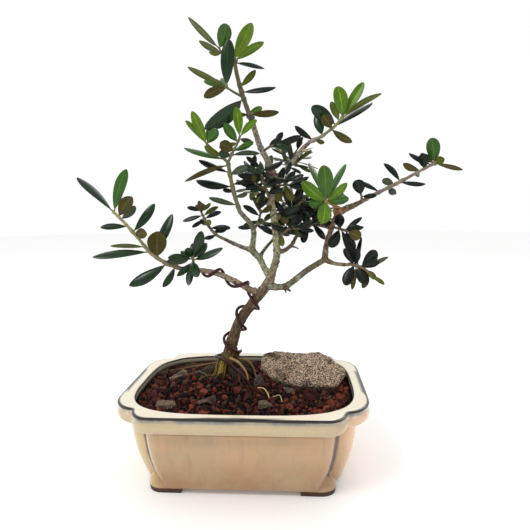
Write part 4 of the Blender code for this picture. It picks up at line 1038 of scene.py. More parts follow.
def barkMaterial():
    material, tree, shader, spot = newMaterial("oliveBark")
    broad = mottle(tree, spot, 380.0, 1.4)
    fine = mottle(tree, spot, 1500.0, 1.6)
    shade = plus(tree, plus(tree, times(tree, broad, 0.55), times(tree, fine, 0.75)), 0.35)
    colour = shaded(tree, attribute(tree, "tone", "Color"), shade)
    # painted shade in the cracks, over the bark's own darker fissures
    colour = mixColour(tree, times(tree, attribute(tree, "crack"), 0.75), colour, linear(44, 32, 22))
    rough = plus(tree, times(tree, fine, 0.25), 0.62)
    relief = plus(tree, times(tree, fine, 0.5), times(tree, broad, 0.8))
    finishSurface(tree, shader, colour, rough, relief, 0.28, 0.7)
    return material


barkTree = meshTree(makeBark())


# Wire

wirePlan = {
    "radius": 1.0,
    "sides": 14,
    "clearance": 0.35,
    "start": ((3.2, -6.4, 51.0), (-1.5, -4.6, 57.0), (-8.2, -2.4, 62.5), (-14.0, 0.0, 66.6)),
    "trunkCoil": (0.14, 0.75, 2.9, 0.0),  # first and last place, turns, first turn in degrees
    "boughCoil": (0.17, 0.76, 2.15, 50.0),
    "pointsPerTurn": 10,
    "pushRounds": 12,
    "pushReach": 3.0,
    "step": 0.8,
    "tones": ((36, 16, 18), (78, 42, 42)),
}


def coil(knots, radii, start, end, turns, firstTurn):
    points, places = smoothPath(knots, 2.0)
    count = max(2, round(turns * wirePlan["pointsPerTurn"]))
    made = []
    for k in range(count + 1):
        spot = start + (end - start) * k / count
        low = max(i for i in range(len(places) - 1) if places[i] <= spot)
        ahead = (points[min(low + 2, len(points) - 1)] - points[max(0, low - 1)]).normalized()
        centre = points[low].lerp(points[low + 1], (spot - places[low]) / (places[low + 1] - places[low]))
        side = ahead.cross(Vector((0, 1, 0))).normalized()
        back = side.cross(ahead).normalized()
        angle = math.radians(firstTurn) + math.tau * turns * k / count
        reach = between(radii, spot) + wirePlan["radius"] + wirePlan["clearance"]
        made.append(centre + reach * (side * math.cos(angle) + back * math.sin(angle)))
    return made


def holdOff(points, surfaces, distance):
    # Pushes the points, and the middles between them, out to the distance from the surfaces.
    for _ in range(wirePlan["pushRounds"]):
        for i in range(len(points)):
            for other in (i, min(i + 1, len(points) - 1)):
                for surface in surfaces:
                    probe = (points[i] + points[other]) / 2
                    spot, normal, _, away = surface.find_nearest(probe)
                    inside = away < wirePlan["pushReach"] and (probe - spot).dot(normal) < 0
                    if not inside and away >= distance:
                        continue
                    outwards = normal if inside else (probe - spot).normalized()
                    push = outwards * (distance + away if inside else distance - away)
                    for moved in {i, other}:
                        points[moved] = points[moved] + push


def wireMaterial():
    material, tree, shader, spot = newMaterial("brownWire", Metallic=0.35, Specular_IOR_Level=0.35)
    low, high = (linear(*tone) for tone in wirePlan["tones"])
    fine = mottle(tree, spot, 1600.0, 1.4)
    colour = mixColour(tree, mottle(tree, spot, 240.0, 1.5), low, high)
    finishSurface(tree, shader, colour, ramp(tree, fine, 0.2, 0.8, 0.3, 0.55), fine, 0.03, 0.6)
    return material


def makeWire():
    knots, foot, tip, _ = limbs["bough_left"]
    path = [Vector(p) for p in wirePlan["start"]]
    path += coil(trunkKnots, trunkRadii, *wirePlan["trunkCoil"])
    path += coil(knots, (foot, tip), *wirePlan["boughCoil"])
    holdOff(path, [meshTree(nodes["trunk"]), meshTree(nodes["bough_left"]), barkTree],
            wirePlan["radius"] + wirePlan["clearance"])
    path, _ = smoothPath(path, wirePlan["step"])
    radii = [wirePlan["radius"]] * len(path)
    radii[0] = radii[-1] = 0.8 * wirePlan["radius"]
    wire = joinedMesh("trainingWire", *ringsAlong(path, radii, wirePlan["sides"]))
    wire.data.materials.append(wireMaterial())
    makeActive(wire)
    bpy.ops.object.shade_smooth_by_angle(angle=math.radians(50))
    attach(wire, "root")
    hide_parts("wire")
    print("wire", len(path))
    return wire


wireTree = meshTree(makeWire())


# Soil, stones and grit

soilPlan = {
    "sideLevels": (12.5, 18, 26, 36, 44, 48),
    "topRings": 46,
    "clearance": 0.55,
    "floorShare": 0.93,
    "floorGap": 0.3,
    "sunk": 0.35,  # below the grains' ground
    "roughness": 0.5,
    # the third colour is painted shade in the pits
    "tones": ((12, 8, 7), (34, 20, 16), (10, 7, 6)),
}


def soilMaterial():
    material, tree, shader, spot = newMaterial("dampSoil", Roughness=0.95, Specular_IOR_Level=0.1)
    low, high, deep = (linear(*tone) for tone in soilPlan["tones"])
    relief, pit = pores(tree, spot, 700.0)
    colour = mixColour(tree, mottle(tree, spot, 420.0, 1.8), low, high)
    # the pits darkened: painted shade
    finishSurface(tree, shader, mixColour(tree, pit, colour, deep), None, relief, 1.2)
    return material


def makeSoil():
    # The fill: up the walls, then rings shrinking towards the mound's middle, roughened on top.
    outlines = [(level, innerOutline(level, soilPlan["clearance"])) for level in soilPlan["sideLevels"]]
    share = soilPlan["floorShare"]
    rings = [[(share * x, share * y, potPlan["floorTop"] + soilPlan["floorGap"]) for x, y in outlines[0][1]]]
    rings += [[(x, y, level) for x, y in outline] for level, outline in outlines]
    edge = outlines[-1][1]
    middle = moundPlan["middle"]
    for k in range(1, soilPlan["topRings"]):
        share = 1 - k / soilPlan["topRings"]
        ring = []
        for x, y in edge:
            x, y = middle[0] * (1 - share) + x * share, middle[1] * (1 - share) + y * share
            rough = noise.fractal(Vector((x, y, 3.0)) * 0.45, 0.8, 2.0, 3) * min(1.0, 6 * (1 - share))
            ring.append((x, y, ground(x, y) - soilPlan["sunk"] + soilPlan["roughness"] * rough))
        rings.append(ring)
    points = [point for ring in rings for point in ring]
    soil = joinedMesh("dampFill", points, tubeFaces(len(rings), len(edge)))
    soil.data.materials.append(soilMaterial())
    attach(soil, "root")
    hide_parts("soil")


makeSoil()

stonePlan = {
    "stone": {"voxel": 0.7, "bulk": 1.1, "grain": 0.28, "colours": ((88, 66, 50), (184, 158, 130)),
              "dark": (22, 16, 13), "specks": 520.0},
}
# Chips: how lumpy, how grainy, low and high colour, and the grain's dark colour.
chips = (
    (0.6, 0.3, (88, 70, 54), (130, 106, 84), (34, 24, 18)),
    (0.5, 0.12, (80, 55, 46), (114, 82, 70), (34, 22, 18)),
    (0.4, 0.15, (56, 42, 42), (90, 70, 68), (22, 16, 16)),
    (0.5, 0.2, (84, 68, 52), (120, 100, 80), (38, 28, 22)),
    (0.4, 0.2, (72, 62, 48), (102, 90, 70), (34, 26, 20)),
    (0.4, 0.2, (76, 66, 50), (108, 96, 74), (40, 32, 24)),
)
for number, (bulk, grain, low, high, dark) in enumerate(chips, 1):
    stonePlan[f"chip_{number}"] = {"voxel": 0.4, "bulk": bulk, "grain": grain, "colours": (low, high),
                                   "dark": dark, "specks": 900.0}


def stoneMaterial(name, plan):
    material, tree, shader, spot = newMaterial(f"{name}Surface", Roughness=0.9, Specular_IOR_Level=0.2)
    low, high = plan["colours"]
    dark, pale = linear(*plan["dark"]), linear(*(min(255, value + 46) for value in high))
    colour = mixColour(tree, mottle(tree, spot, 110.0, 1.7), linear(*low), linear(*high))
    grain = mottle(tree, spot, plan["specks"] * 1.6, 2.2)
    colour = mixColour(tree, ramp(tree, grain, 0.66, 0.42, 0.0, 0.92), colour, dark)
    glint = mottle(tree, spot, plan["specks"] * 2.6, 2.2)
    colour = mixColour(tree, ramp(tree, glint, 0.52, 0.7, 0.0, 0.8), colour, pale)
    smudge = mottle(tree, spot, 62.0, 2.2)
    colour = mixColour(tree, ramp(tree, smudge, 0.54, 0.8, 0.0, 0.75), colour, dark)
    finishSurface(tree, shader, colour, None, pores(tree, spot, plan["specks"])[0], 0.5)
    return material


def makeStone(name):
    # A copy of the stone's solid, its points merged, remeshed and roughened.
    plan = stonePlan[name]
    piece = nodes[name].copy()
    piece.data = nodes[name].data.copy()
    piece.name = f"{name}_rough"
    piece.parent = None
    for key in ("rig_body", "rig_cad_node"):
        if key in piece:
            del piece[key]
    bpy.context.scene.collection.objects.link(piece)
    makeActive(piece)
    bpy.ops.object.mode_set(mode="EDIT")
    bpy.ops.mesh.select_all(action="SELECT")
    bpy.ops.mesh.remove_doubles(threshold=1e-6)
    bpy.ops.object.mode_set(mode="OBJECT")
    applyModifier(piece, "REMESH", mode="VOXEL", voxel_size=plan["voxel"] * mm, use_smooth_shade=True)
    applyModifier(piece, "SMOOTH", factor=0.6, iterations=4)
    points, normals = pointsOf(piece), normalsOf(piece)
    pushed = []
    for raw in points:
        spot = Vector(raw)
        broad = noise.fractal(spot * 0.11, 0.8, 2.0, 4)
        facet = -abs(noise.noise(spot * 0.22 + Vector((5, 1, 2))))
        pushed.append(plan["bulk"] * (0.6 * broad + 0.7 * facet) + plan["grain"] * noise.noise(spot * 0.9))
    points += normals * np.array(pushed)[:, None]
    setPoints(piece, points)
    piece.data.materials.clear()
    piece.data.materials.append(stoneMaterial(name, plan))
    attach(piece, "root")
    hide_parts(name)
    return piece


stoneTrees = [meshTree(makeStone(name)) for name in stonePlan]
print("stones", len(stoneTrees))

gritPlan = {
    "seed": 11,
    "shapes": 10,
    "coarseTries": 415,
    "coarseSize": (1.9, 3.2),
    "gap": 0.3,
    "lift": 0.25,
    "stretch": (1.15, 0.95, 0.85),
    "fineStretch": (0.8, 1.2),
    "middle": (4200, 1.2, 2.5),  # tries, least and greatest half size
    "fine": (5200, 0.42, 0.95),
    "cell": 4,
    "spacing": 0.72,
    "tints": {
        "Rust": ((80, 33, 23), (138, 66, 48), 0.25),
        "Red": ((43, 20, 16), (78, 37, 29), 0.37),
        "Dark": ((17, 10, 9), (40, 24, 21), 0.27),
        "Grey": ((56, 40, 33), (88, 68, 56), 0.11),
    },
}


def gritMaterial(name, low, high):
    material, tree, shader, spot = newMaterial(f"grit{name}", Roughness=0.85, Specular_IOR_Level=0.15)
    relief, pit = pores(tree, spot, 1100.0)
    colour = mixColour(tree, mottle(tree, spot, 300.0, 2.0), linear(*low), linear(*high))
    # the pits darkened: painted shade
    colour = mixColour(tree, times(tree, pit, 0.75), colour, linear(*[v * 0.35 for v in low]))
    finishSurface(tree, shader, colour, None, relief, 0.6)
    return material


def gritShapes(count, rng):
    # Broken lumps: an icosphere with flats cut on it, modelled once each and copied.
    made = []
    for _ in range(count):
        deselectAll()
        bpy.ops.mesh.primitive_ico_sphere_add(subdivisions=2, radius=1.0, location=(0, 0, 0))
        lump = bpy.context.object
        verts = np.array([v.co[:] for v in lump.data.vertices])
        faces = [tuple(p.vertices) for p in lump.data.polygons]
        bpy.data.objects.remove(lump, do_unlink=True)
        verts *= np.array([rng.uniform(0.75, 1.2) for _ in range(3)])
        for _ in range(8):
            flat = np.array(Vector([rng.gauss(0, 1) for _ in range(3)]).normalized())
            over = np.maximum(0, verts @ flat - rng.uniform(0.42, 0.8))
            verts -= over[:, None] * flat
        verts *= 1 + np.array([rng.uniform(-0.10, 0.14) for _ in verts])[:, None]
        made.append((verts, faces))
    return made


def coarseGrains(rng, blocks):
    # The source's coarse grains: place, half size and turn.
    grains = []
    for _ in range(gritPlan["coarseTries"]):
        size = rng.uniform(*gritPlan["coarseSize"])
        x, y = (rng.uniform(-half, half) for half in potPlan["innerRim"])
        turn = rng.uniform(0, 360)
        reach = gritPlan["stretch"][0] * size + gritPlan["gap"]
        spot = Vector((x, y, ground(x, y) + gritPlan["lift"] * size))
        if wallShare(x, y, reach) > 1:
            continue
        if min(tree.find_nearest(spot)[3] for tree in blocks) < reach + gritPlan["gap"]:
            continue
        grown = gritPlan["stretch"][0]
        if all((spot - other).length > reach + grown * beside for other, beside, _ in grains):
            grains.append((spot, size, turn))
    return grains


class GritBed:
    # The lumps laid so far, by tint, and their places by cell so that a new one keeps clear.
    def __init__(self, rng):
        self.rng = rng
        self.cells = {}
        self.count = 0
        self.batches = {tint: Batch() for tint in gritPlan["tints"]}
        self.shares = [plan[2] for plan in gritPlan["tints"].values()]

    def cellOf(self, spot):
        return int(spot.x // gritPlan["cell"]), int(spot.y // gritPlan["cell"])

    def tooClose(self, spot, size):
        column, row = self.cellOf(spot)
        near = (self.cells.get((column + i, row + j), ()) for i in range(-2, 3) for j in range(-2, 3))
        return any((spot - other).length < gritPlan["spacing"] * (size + reach)
                   for cell in near for other, reach in cell)

    def lay(self, shape, spin, stretch, spot, size):
        verts, faces = shape
        lump = (verts * np.array(stretch) * size) @ np.array(spin).T + np.array(spot)
        self.batches[self.rng.choices(list(self.batches), self.shares)[0]].add(lump, faces)
        self.cells.setdefault(self.cellOf(spot), []).append((spot, size))
        self.count += 1


def layGrit(bed, shapes, grains, rng):
    for spot, size, turn in grains:
        shape = shapes[rng.randrange(len(shapes))]
        turn = math.radians(turn)
        spin = Matrix.Rotation(turn, 3, "Z") @ Matrix.Rotation(turn, 3, "X")
        bed.lay(shape, spin, [value * 1.06 for value in gritPlan["stretch"]], spot, size)
    blocks = [barkTree, wireTree, *stoneTrees]
    for grade in ("middle", "fine"):
        tries, least, greatest = gritPlan[grade]
        for _ in range(tries):
            size = least + (greatest - least) * rng.random() ** 1.5
            x, y = (rng.uniform(-half, half) for half in potPlan["innerRim"])
            spot = Vector((x, y, ground(x, y) + rng.uniform(-0.15, 0.35) * size))
            if wallShare(x, y, soilPlan["clearance"] + 0.8 * size) > 1 or bed.tooClose(spot, size):
                continue
            if min(tree.find_nearest(spot)[3] for tree in blocks) < 0.8 * size:
                continue
            shape = shapes[rng.randrange(len(shapes))]
            axis = Vector([rng.gauss(0, 1) for _ in range(3)]).normalized()
            spin = Matrix.Rotation(rng.uniform(0, math.tau), 3, axis)
            bed.lay(shape, spin, [rng.uniform(*gritPlan["fineStretch"]) for _ in range(3)], spot, size)


def makeGrit():
    rng = random.Random(gritPlan["seed"])
    grains = coarseGrains(rng, [meshTree(nodes[name]) for name in ("pot", "trunk", "wire", *stonePlan)])
    bed = GritBed(rng)
    layGrit(bed, gritShapes(gritPlan["shapes"], rng), grains, rng)
    for tint, batch in bed.batches.items():
        low, high, _ = gritPlan["tints"][tint]
        piece = joinedMesh(f"grit_{tint.lower()}", batch.points, batch.faces)
        piece.data.materials.append(gritMaterial(tint, low, high))
        makeActive(piece)
        bpy.ops.object.shade_smooth_by_angle(angle=math.radians(32))
        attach(piece, "root")
        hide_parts("soil")
    print("grit", len(grains), bed.count)


makeGrit()

# Root fibres, moss threads and pale bits lying on the grit: points on the way, radius, kind.
threadPlan = {
    "seed": 21,
    "lying": (
        (((-11.5, 1.5, 67.5), (-6.5, -0.5, 66.2), (-2.4, -1.5, 62.5), (0.2, -2.6, 58.5), (1.2, -4.4, 54.4)),
         0.95, "tan"),
        (((-6, 4, 67), (0.5, 2.4, 65.6), (4.2, 0.8, 61.6), (6, -1, 55.6)), 0.8, "root"),
        (((-16, 4, 66), (-20, 1, 62), (-21.5, -2.5, 56.5)), 0.9, "root"),
        (((6.7, -12.6, 52.6), (11.8, -12.9, 52.6), (14.6, -19, 51.6), (16.7, -24.3, 50.6),
          (22.1, -19.7, 50.9), (24.1, -27.2, 49.6)), 0.36, "pale"),
        (((-39.8, 8.1, 54.0), (-34.0, 6.3, 56.5), (-28.0, -0.6, 57.4), (-25, -4, 55.5)), 0.4, "grey"),
        (((-32.2, -3.9, 54.5), (-25.7, -2.9, 57.2), (-20.0, -4.7, 58.2), (-17, -1, 60)), 0.32, "root"),
        (((-19, 12, 62), (-27, 18, 58.6), (-38, 24, 54.5), (-50, 27, 51.6), (-59, 26, 50.4)), 0.55, "root"),
        (((-18, 14, 61), (-27, 23, 57), (-38, 31, 53), (-52, 34, 50.8)), 0.45, "root"),
        (((-17, 16, 60.5), (-25, 28, 55.6), (-37, 38, 51.6), (-50, 41, 50.2)), 0.4, "moss"),
        (((-10, 15, 60.4), (-8, 24, 57.2), (-12, 34, 53.4), (-20, 44, 50.6)), 0.45, "root"),
        (((-6, 10, 60), (2, 13, 57), (10, 17, 53.2), (16, 24, 50.8)), 0.5, "root"),
    ),
    "fibreSteps": 6,
    "fibreRadius": (0.14, 0.34),
    # Place, fibres, heading, reaches, spread, and two colours that each fibre's own lies between.
    "bundle": ((-17.0, 1.6, 65.0), 46, 258, (4.0, 8.5), 18, (150, 128, 26), (176, 150, 64)),
    "clumps": ((-16.5, 2.0, 60.2, 10, 262), (-20.5, 6.5, 61.0, 16, 225), (-8.5, 2.0, 60.4, 12, 300),
               (-21.0, 13.0, 60.0, 18, 175), (-12.0, 17.0, 59.5, 12, 95), (-5.5, 10.0, 60.0, 10, 10)),
    "clumpForm": ((5, 15), 42, (44, 34, 16), (92, 70, 38)),
}
threadColours = {"root": (112, 86, 48), "pale": (206, 186, 122), "grey": (84, 84, 66), "moss": (112, 100, 32),
                 "tan": (156, 128, 84)}


def toneMaterial(name, rough, bumpDepth):
    # A finish whose colour comes with the piece, with grain over it.
    material, tree, shader, spot = newMaterial(name)
    fine = mottle(tree, spot, 900.0, 1.6)
    colour = shaded(tree, attribute(tree, "tone", "Color"), plus(tree, times(tree, fine, 0.9), 0.5))
    finishSurface(tree, shader, colour, ramp(tree, fine, 0.2, 0.8, rough - 0.1, rough + 0.1), fine, bumpDepth)
    return material


def lyingThreads(batch):
    for knots, radius, kind in threadPlan["lying"]:
        path, places = smoothPath(knots, 1.4)
        path = [p + 0.25 * noise.noise_vector(p * 0.35) for p in path]
        points, faces = ringsAlong(path, [radius * (1.15 - 0.6 * place) for place in places], 7)
        batch.add(points, faces, tones=[linear(*threadColours[kind])] * len(points))


def fibrePath(start, turn, reach, steps):
    # Falls away from its start to the soil, and wanders more towards its end.
    path = []
    for k in range(steps + 1):
        share = k / steps
        spot = start + Vector((math.cos(turn), math.sin(turn), 0)) * reach * share
        floor = ground(spot.x, spot.y) + 0.9
        spot.z = floor + (start.z - floor) * (1 - share) ** 1.6
        path.append(spot + 0.9 * share * noise.noise_vector(spot * 0.3 + Vector((reach, 0, 0))))
    return path


def fibreBunches(batch, rng):
    steps = threadPlan["fibreSteps"]
    spot, *form = threadPlan["bundle"]
    bunches = [(*spot, *form)]
    bunches += [(*clump, *threadPlan["clumpForm"]) for clump in threadPlan["clumps"]]
    for x, y, z, count, heading, reaches, spread, first, second in bunches:
        for _ in range(count):
            turn = math.radians(heading + rng.uniform(-spread, spread))
            reach = rng.uniform(*reaches)
            start = Vector((x + rng.uniform(-3, 3), y + rng.uniform(-2, 2), z + rng.uniform(-1.5, 1.5)))
            radius = rng.uniform(*threadPlan["fibreRadius"])
            colour = Vector(linear(*first)).lerp(Vector(linear(*second)), rng.random())
            colour = tuple(colour * rng.uniform(0.35, 1.1))
            radii = [radius * (1.2 - 0.7 * k / steps) for k in range(steps + 1)]
            points, faces = ringsAlong(fibrePath(start, turn, reach, steps), radii, 5)
            batch.add(points, faces, tones=[colour] * len(points))


def makeThreads():
    batch = Batch()
    lyingThreads(batch)
    fibreBunches(batch, random.Random(threadPlan["seed"]))
    piece = joinedMesh("root_fibres", batch.points, batch.faces)
    setTone(piece, batch.tones)
    piece.data.materials.append(toneMaterial("fibreSkin", 0.8, 0.1))
    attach(piece, "root")
    print("fibres", len(batch.points))


makeThreads()


# Leaf masses: the source's shoots and growing rule, with a look for each shown leaf.
# A leaf is (place along the stem, bearing from +X, lean towards the front, length, width, its look's letter).

shownMasses = {
    "leaves_top": (
        (((4.0, 5, 224), (0, 5, 235), (-4, 5, 249), (-6, 5, 260)), 1.6, 1.2, (
            (0.35, 225, 34, 37, 9.8, "d"), (0.06, 3, 5, 19, 4.6, "n"), (0.1, 28, -40, 12, 4, "b"),
            (0.06, 192, 24, 17, 4, "n"), (0.46, 6, 4, 22, 3.6, "k"), (0.55, 48, -12, 15, 4.4, "o"),
            (0.95, 345, 10, 20, 3, "k"), (0.98, 34, -15, 23, 5.4, "B"), (0.99, 60, 10, 24, 8.4, "B"),
            (0.97, 106, -10, 15, 6, "o"))),
        (((-1.0, 5, 237), (-6, 0, 239), (-10, -4, 241)), 0.9, 0.6, (
            (0.85, 153, 10, 28, 4, "o"), (0.95, 158, -25, 19, 5, "g"), (0.97, 205, 20, 16, 6, "n"),
            (0.9, 122, -50, 18, 5, "g"), (0.99, 86, 5, 28, 8.5, "d"))),
        (((-6.0, 5, 258), (-12, 3, 262), (-15, 1, 266)), 0.8, 0.6, (
            (0.97, 135, 0, 27, 4.2, "p"), (0.94, 68, 20, 15, 9, "g"), (0.6, 152, 10, 17, 4, "p"),
            (0.7, 165, -35, 12, 3, "o")))),
    "leaves_left_upper": (
        (((-3.0, -3.2, 165.2), (-5, -5, 172), (-6.6, -6.5, 179), (-8, -8.3, 187), (-9, -10, 196)), 1.4, 1.1, (
            (0.12, 165, 0, 19, 3.5, "s"), (0.3, 15, -30, 9, 3, "s"), (0.4, 170, -20, 8, 3, "k"),
            (0.5, 170, 5, 23, 5, "k"), (0.78, 157, 0, 21, 3.6, "k"), (0.93, 202, 10, 29, 3.6, "n"),
            (0.55, 12, -25, 18, 4, "k"), (0.75, 20, 20, 13, 5, "s"))),
        (((-9.0, -10, 195), (-15, -12, 200.5), (-21.5, -14, 206)), 0.9, 0.6, (
            (0.98, 132, 0, 19, 3.6, "b"), (0.97, 113, 10, 21, 6, "B"), (0.96, 82, -15, 18, 3.2, "b"),
            (0.98, 48, 25, 12, 6, "g"), (0.3, 148, 30, 13, 4, "o"), (0.15, 163, -5, 27, 3.6, "g"))),
        (((-9.0, -10, 195), (-5.6, -9.4, 202), (-3, -8.6, 207), (-1.6, -8, 211)), 0.9, 0.6, (
            (0.97, 96, 0, 18, 6, "b"), (0.98, 45, -12, 15, 4.4, "b"), (0.75, 125, 12, 14, 6, "g"),
            (0.75, 190, -25, 14, 4, "o"), (0.42, 150, 40, 11, 7.5, "n"), (0.24, 172, 40, 9, 5, "d"),
            (0.4, 25, -10, 14, 4, "g"), (0.25, 2, 10, 18, 3.2, "s"), (0.9, 340, -30, 10, 4, "s")))),
    "leaves_left": (
        (((-40.4, -11.5, 129.7), (-49.2, -14, 133.6), (-57.6, -17, 140.5), (-64.2, -19, 149.4),
          (-71, -23, 159), (-76.5, -26, 165.7)), 1.35, 0.7, (
            (0.99, 136, 0, 30, 4.4, "d"), (0.99, 69, 5, 27, 6.6, "g"), (0.92, 47, 20, 17, 7.6, "n"),
            (0.88, 46, -25, 12, 5, "s"), (0.78, 181, 15, 16, 3.8, "d"), (0.7, 52, -5, 22, 5.4, "d"),
            (0.68, 2, 40, 14, 6.6, "n"), (0.49, 179, -5, 23, 3, "o"), (0.41, 184, 15, 34, 4.8, "d"),
            (0.36, 65, -10, 28, 6.2, "d"), (0.3, 79, 25, 19, 12, "n"), (0.2, 9, 12, 17, 5.6, "d"),
            (0.16, 210, 15, 27, 6.9, "d"), (0.06, 240, 16, 15, 4.6, "d"))),),
    "leaves_left_low": (
        (((-32.5, -9.8, 128.7), (-31.4, -13.6, 133), (-31, -17, 138)), 0.9, 0.6, (
            (0.9, 68, 10, 18, 6.4, "d"), (0.84, 48, -18, 13, 5.2, "d"), (0.72, 22, 8, 21, 4.6, "d"),
            (0.92, 158, -12, 9, 3.4, "d"), (0.86, 112, 45, 10, 5, "d"), (0.98, 96, -30, 9, 3.8, "d"),
            (0.6, 268, 44, 18, 4.6, "d"), (0.66, 303, 55, 17, 6.2, "d"), (0.6, 222, 34, 14, 4, "d"),
            (0.8, 172, 40, 17, 4.4, "d"))),),
    "leaves_left_inner": (
        (((-15.0, 15.2, 146), (-22, 20, 149), (-28, 24, 155), (-32, 28, 161), (-35, 33, 166)), 1.1, 0.6, (
            (0.98, 62, 60, 12, 8, "n"), (0.97, 165, 20, 10, 3.4, "k"), (0.95, 40, -5, 9, 3, "o"),
            (0.8, 32, -20, 13, 3.4, "o"), (0.72, 22, 0, 13, 3.6, "k"), (0.82, 195, 0, 15, 3.4, "k"),
            (0.7, 212, 30, 11, 3, "k"), (0.68, 330, 50, 9, 5, "o"), (0.48, 0, 10, 15, 4, "k"),
            (0.38, 10, -40, 12, 3.4, "k"), (0.3, 60, -50, 9, 3.4, "k"), (0.26, 195, 20, 9, 3, "k"),
            (0.88, 110, -35, 12, 4, "k"), (0.55, 150, -45, 12, 4, "k"))),),
    "leaves_upper_right": (
        (((41.8, 8, 209), (48.5, 8.4, 211.8), (53, 9, 215), (58, 9.5, 219), (62.6, 10, 224.6)), 1.25, 0.7, (
            (0.86, 112, -10, 14, 5, "o"), (0.98, 101, 10, 19, 9, "b"), (0.99, 66, -28, 15, 4, "s"),
            (0.98, 58, 0, 25, 6.4, "b"), (0.94, 30, 5, 29, 4, "o"), (0.66, 33, -16, 32, 3.4, "d"),
            (0.74, 146, 18, 20, 8.4, "d"), (0.62, 135, 48, 14, 7, "n"), (0.32, 102, -15, 16, 6.6, "d"),
            (0.6, 326, 10, 16, 5, "n"), (0.12, 338, 20, 7, 3, "n"), (0.08, 142, 0, 15, 4, "k"))),),
    "leaves_right_tip": (
        (((86.0, 20.5, 175.8), (101, 22, 183), (115, 23.5, 190.5), (126, 25, 196)), 1.25, 0.8, (
            (0.98, 102, 12, 17, 9, "g"), (0.97, 135, -35, 13, 4, "n"), (0.92, 152, 0, 17, 3.6, "k"),
            (0.8, 100, 32, 11, 8, "k"), (0.74, 158, 10, 13, 4.6, "n"), (0.98, 30, 50, 8, 5.6, "o"),
            (0.98, 346, 0, 19, 3.2, "n"), (0.4, 135, 10, 17, 4, "k"), (0.3, 150, -55, 13, 5, "s"),
            (0.38, 355, 10, 17, 3.4, "k"), (0.06, 156, 15, 17, 3.2, "k"), (0.62, 20, -60, 14, 5, "k"),
            (0.2, 330, -50, 13, 5, "k"))),),
    "leaves_rosette": (
        (((63.4, 17.2, 165.4), (57.5, 9.4, 168.4), (51, 2, 171)), 1.1, 0.9, (
            (0.97, 94, 14, 23, 10, "r"), (0.85, 114, -22, 31, 4.2, "g"), (0.85, 64, -22, 30, 4.2, "g"),
            (0.95, 141, 20, 21, 8, "b"), (0.93, 42, 18, 18, 5.2, "b"), (0.9, 184, 25, 13, 5.6, "g"),
            (0.9, 8, 25, 15, 5.8, "g"), (0.99, 262, 28, 16, 9, "b"), (0.55, 50, -45, 16, 6, "k"),
            (0.8, 160, -10, 13, 5, "g"), (0.7, 25, -25, 13, 5, "k"))),),
    "leaves_right_middle": (
        (((58.6, 13.4, 153.6), (63, 11, 152.5), (67, 8, 151)), 0.9, 0.6, (
            (0.7, 38, 0, 14, 3.4, "k"), (0.6, 8, 14, 12, 4, "k"), (0.95, 335, 32, 10, 7.5, "n"),
            (0.4, 296, 14, 23, 6, "k"), (0.35, 100, 45, 14, 6.6, "k"), (0.75, 296, -25, 17, 5.6, "k"),
            (0.85, 12, -30, 14, 3.4, "k"), (0.3, 238, 38, 17, 7, "k"))),),
    "leaves_right_low": (
        (((68.1, 4.9, 130.2), (72.6, 2, 129.3), (77.3, -1, 127), (80.7, -4, 123)), 1.1, 0.6, (
            (0.16, 243, 20, 15, 7.2, "k"), (0.3, 295, 22, 13, 7.6, "k"), (0.26, 262, -12, 17, 3.4, "n"),
            (0.64, 318, 12, 9, 4, "o"), (0.45, 52, 18, 15, 7.6, "k"), (0.38, 20, 36, 15, 5.4, "k"),
            (0.3, 80, -24, 20, 3.2, "k"), (0.55, 20, -28, 21, 3.4, "n"), (0.95, 327, 0, 10, 3, "o"),
            (0.14, 122, 20, 14, 5.2, "k"), (0.22, 92, 34, 14, 5.8, "k"), (0.73, 262, -34, 15, 4.6, "n"))),),
    "leaves_right_bud": (
        (((76.1, 17.5, 171.4), (75.9, 15.4, 173.6), (75.1, 13.6, 175.6)), 0.9, 0.7, (
            (0.8, 110, 18, 11, 8.2, "k"), (0.55, 4, 20, 10, 3.4, "k"))),),
}
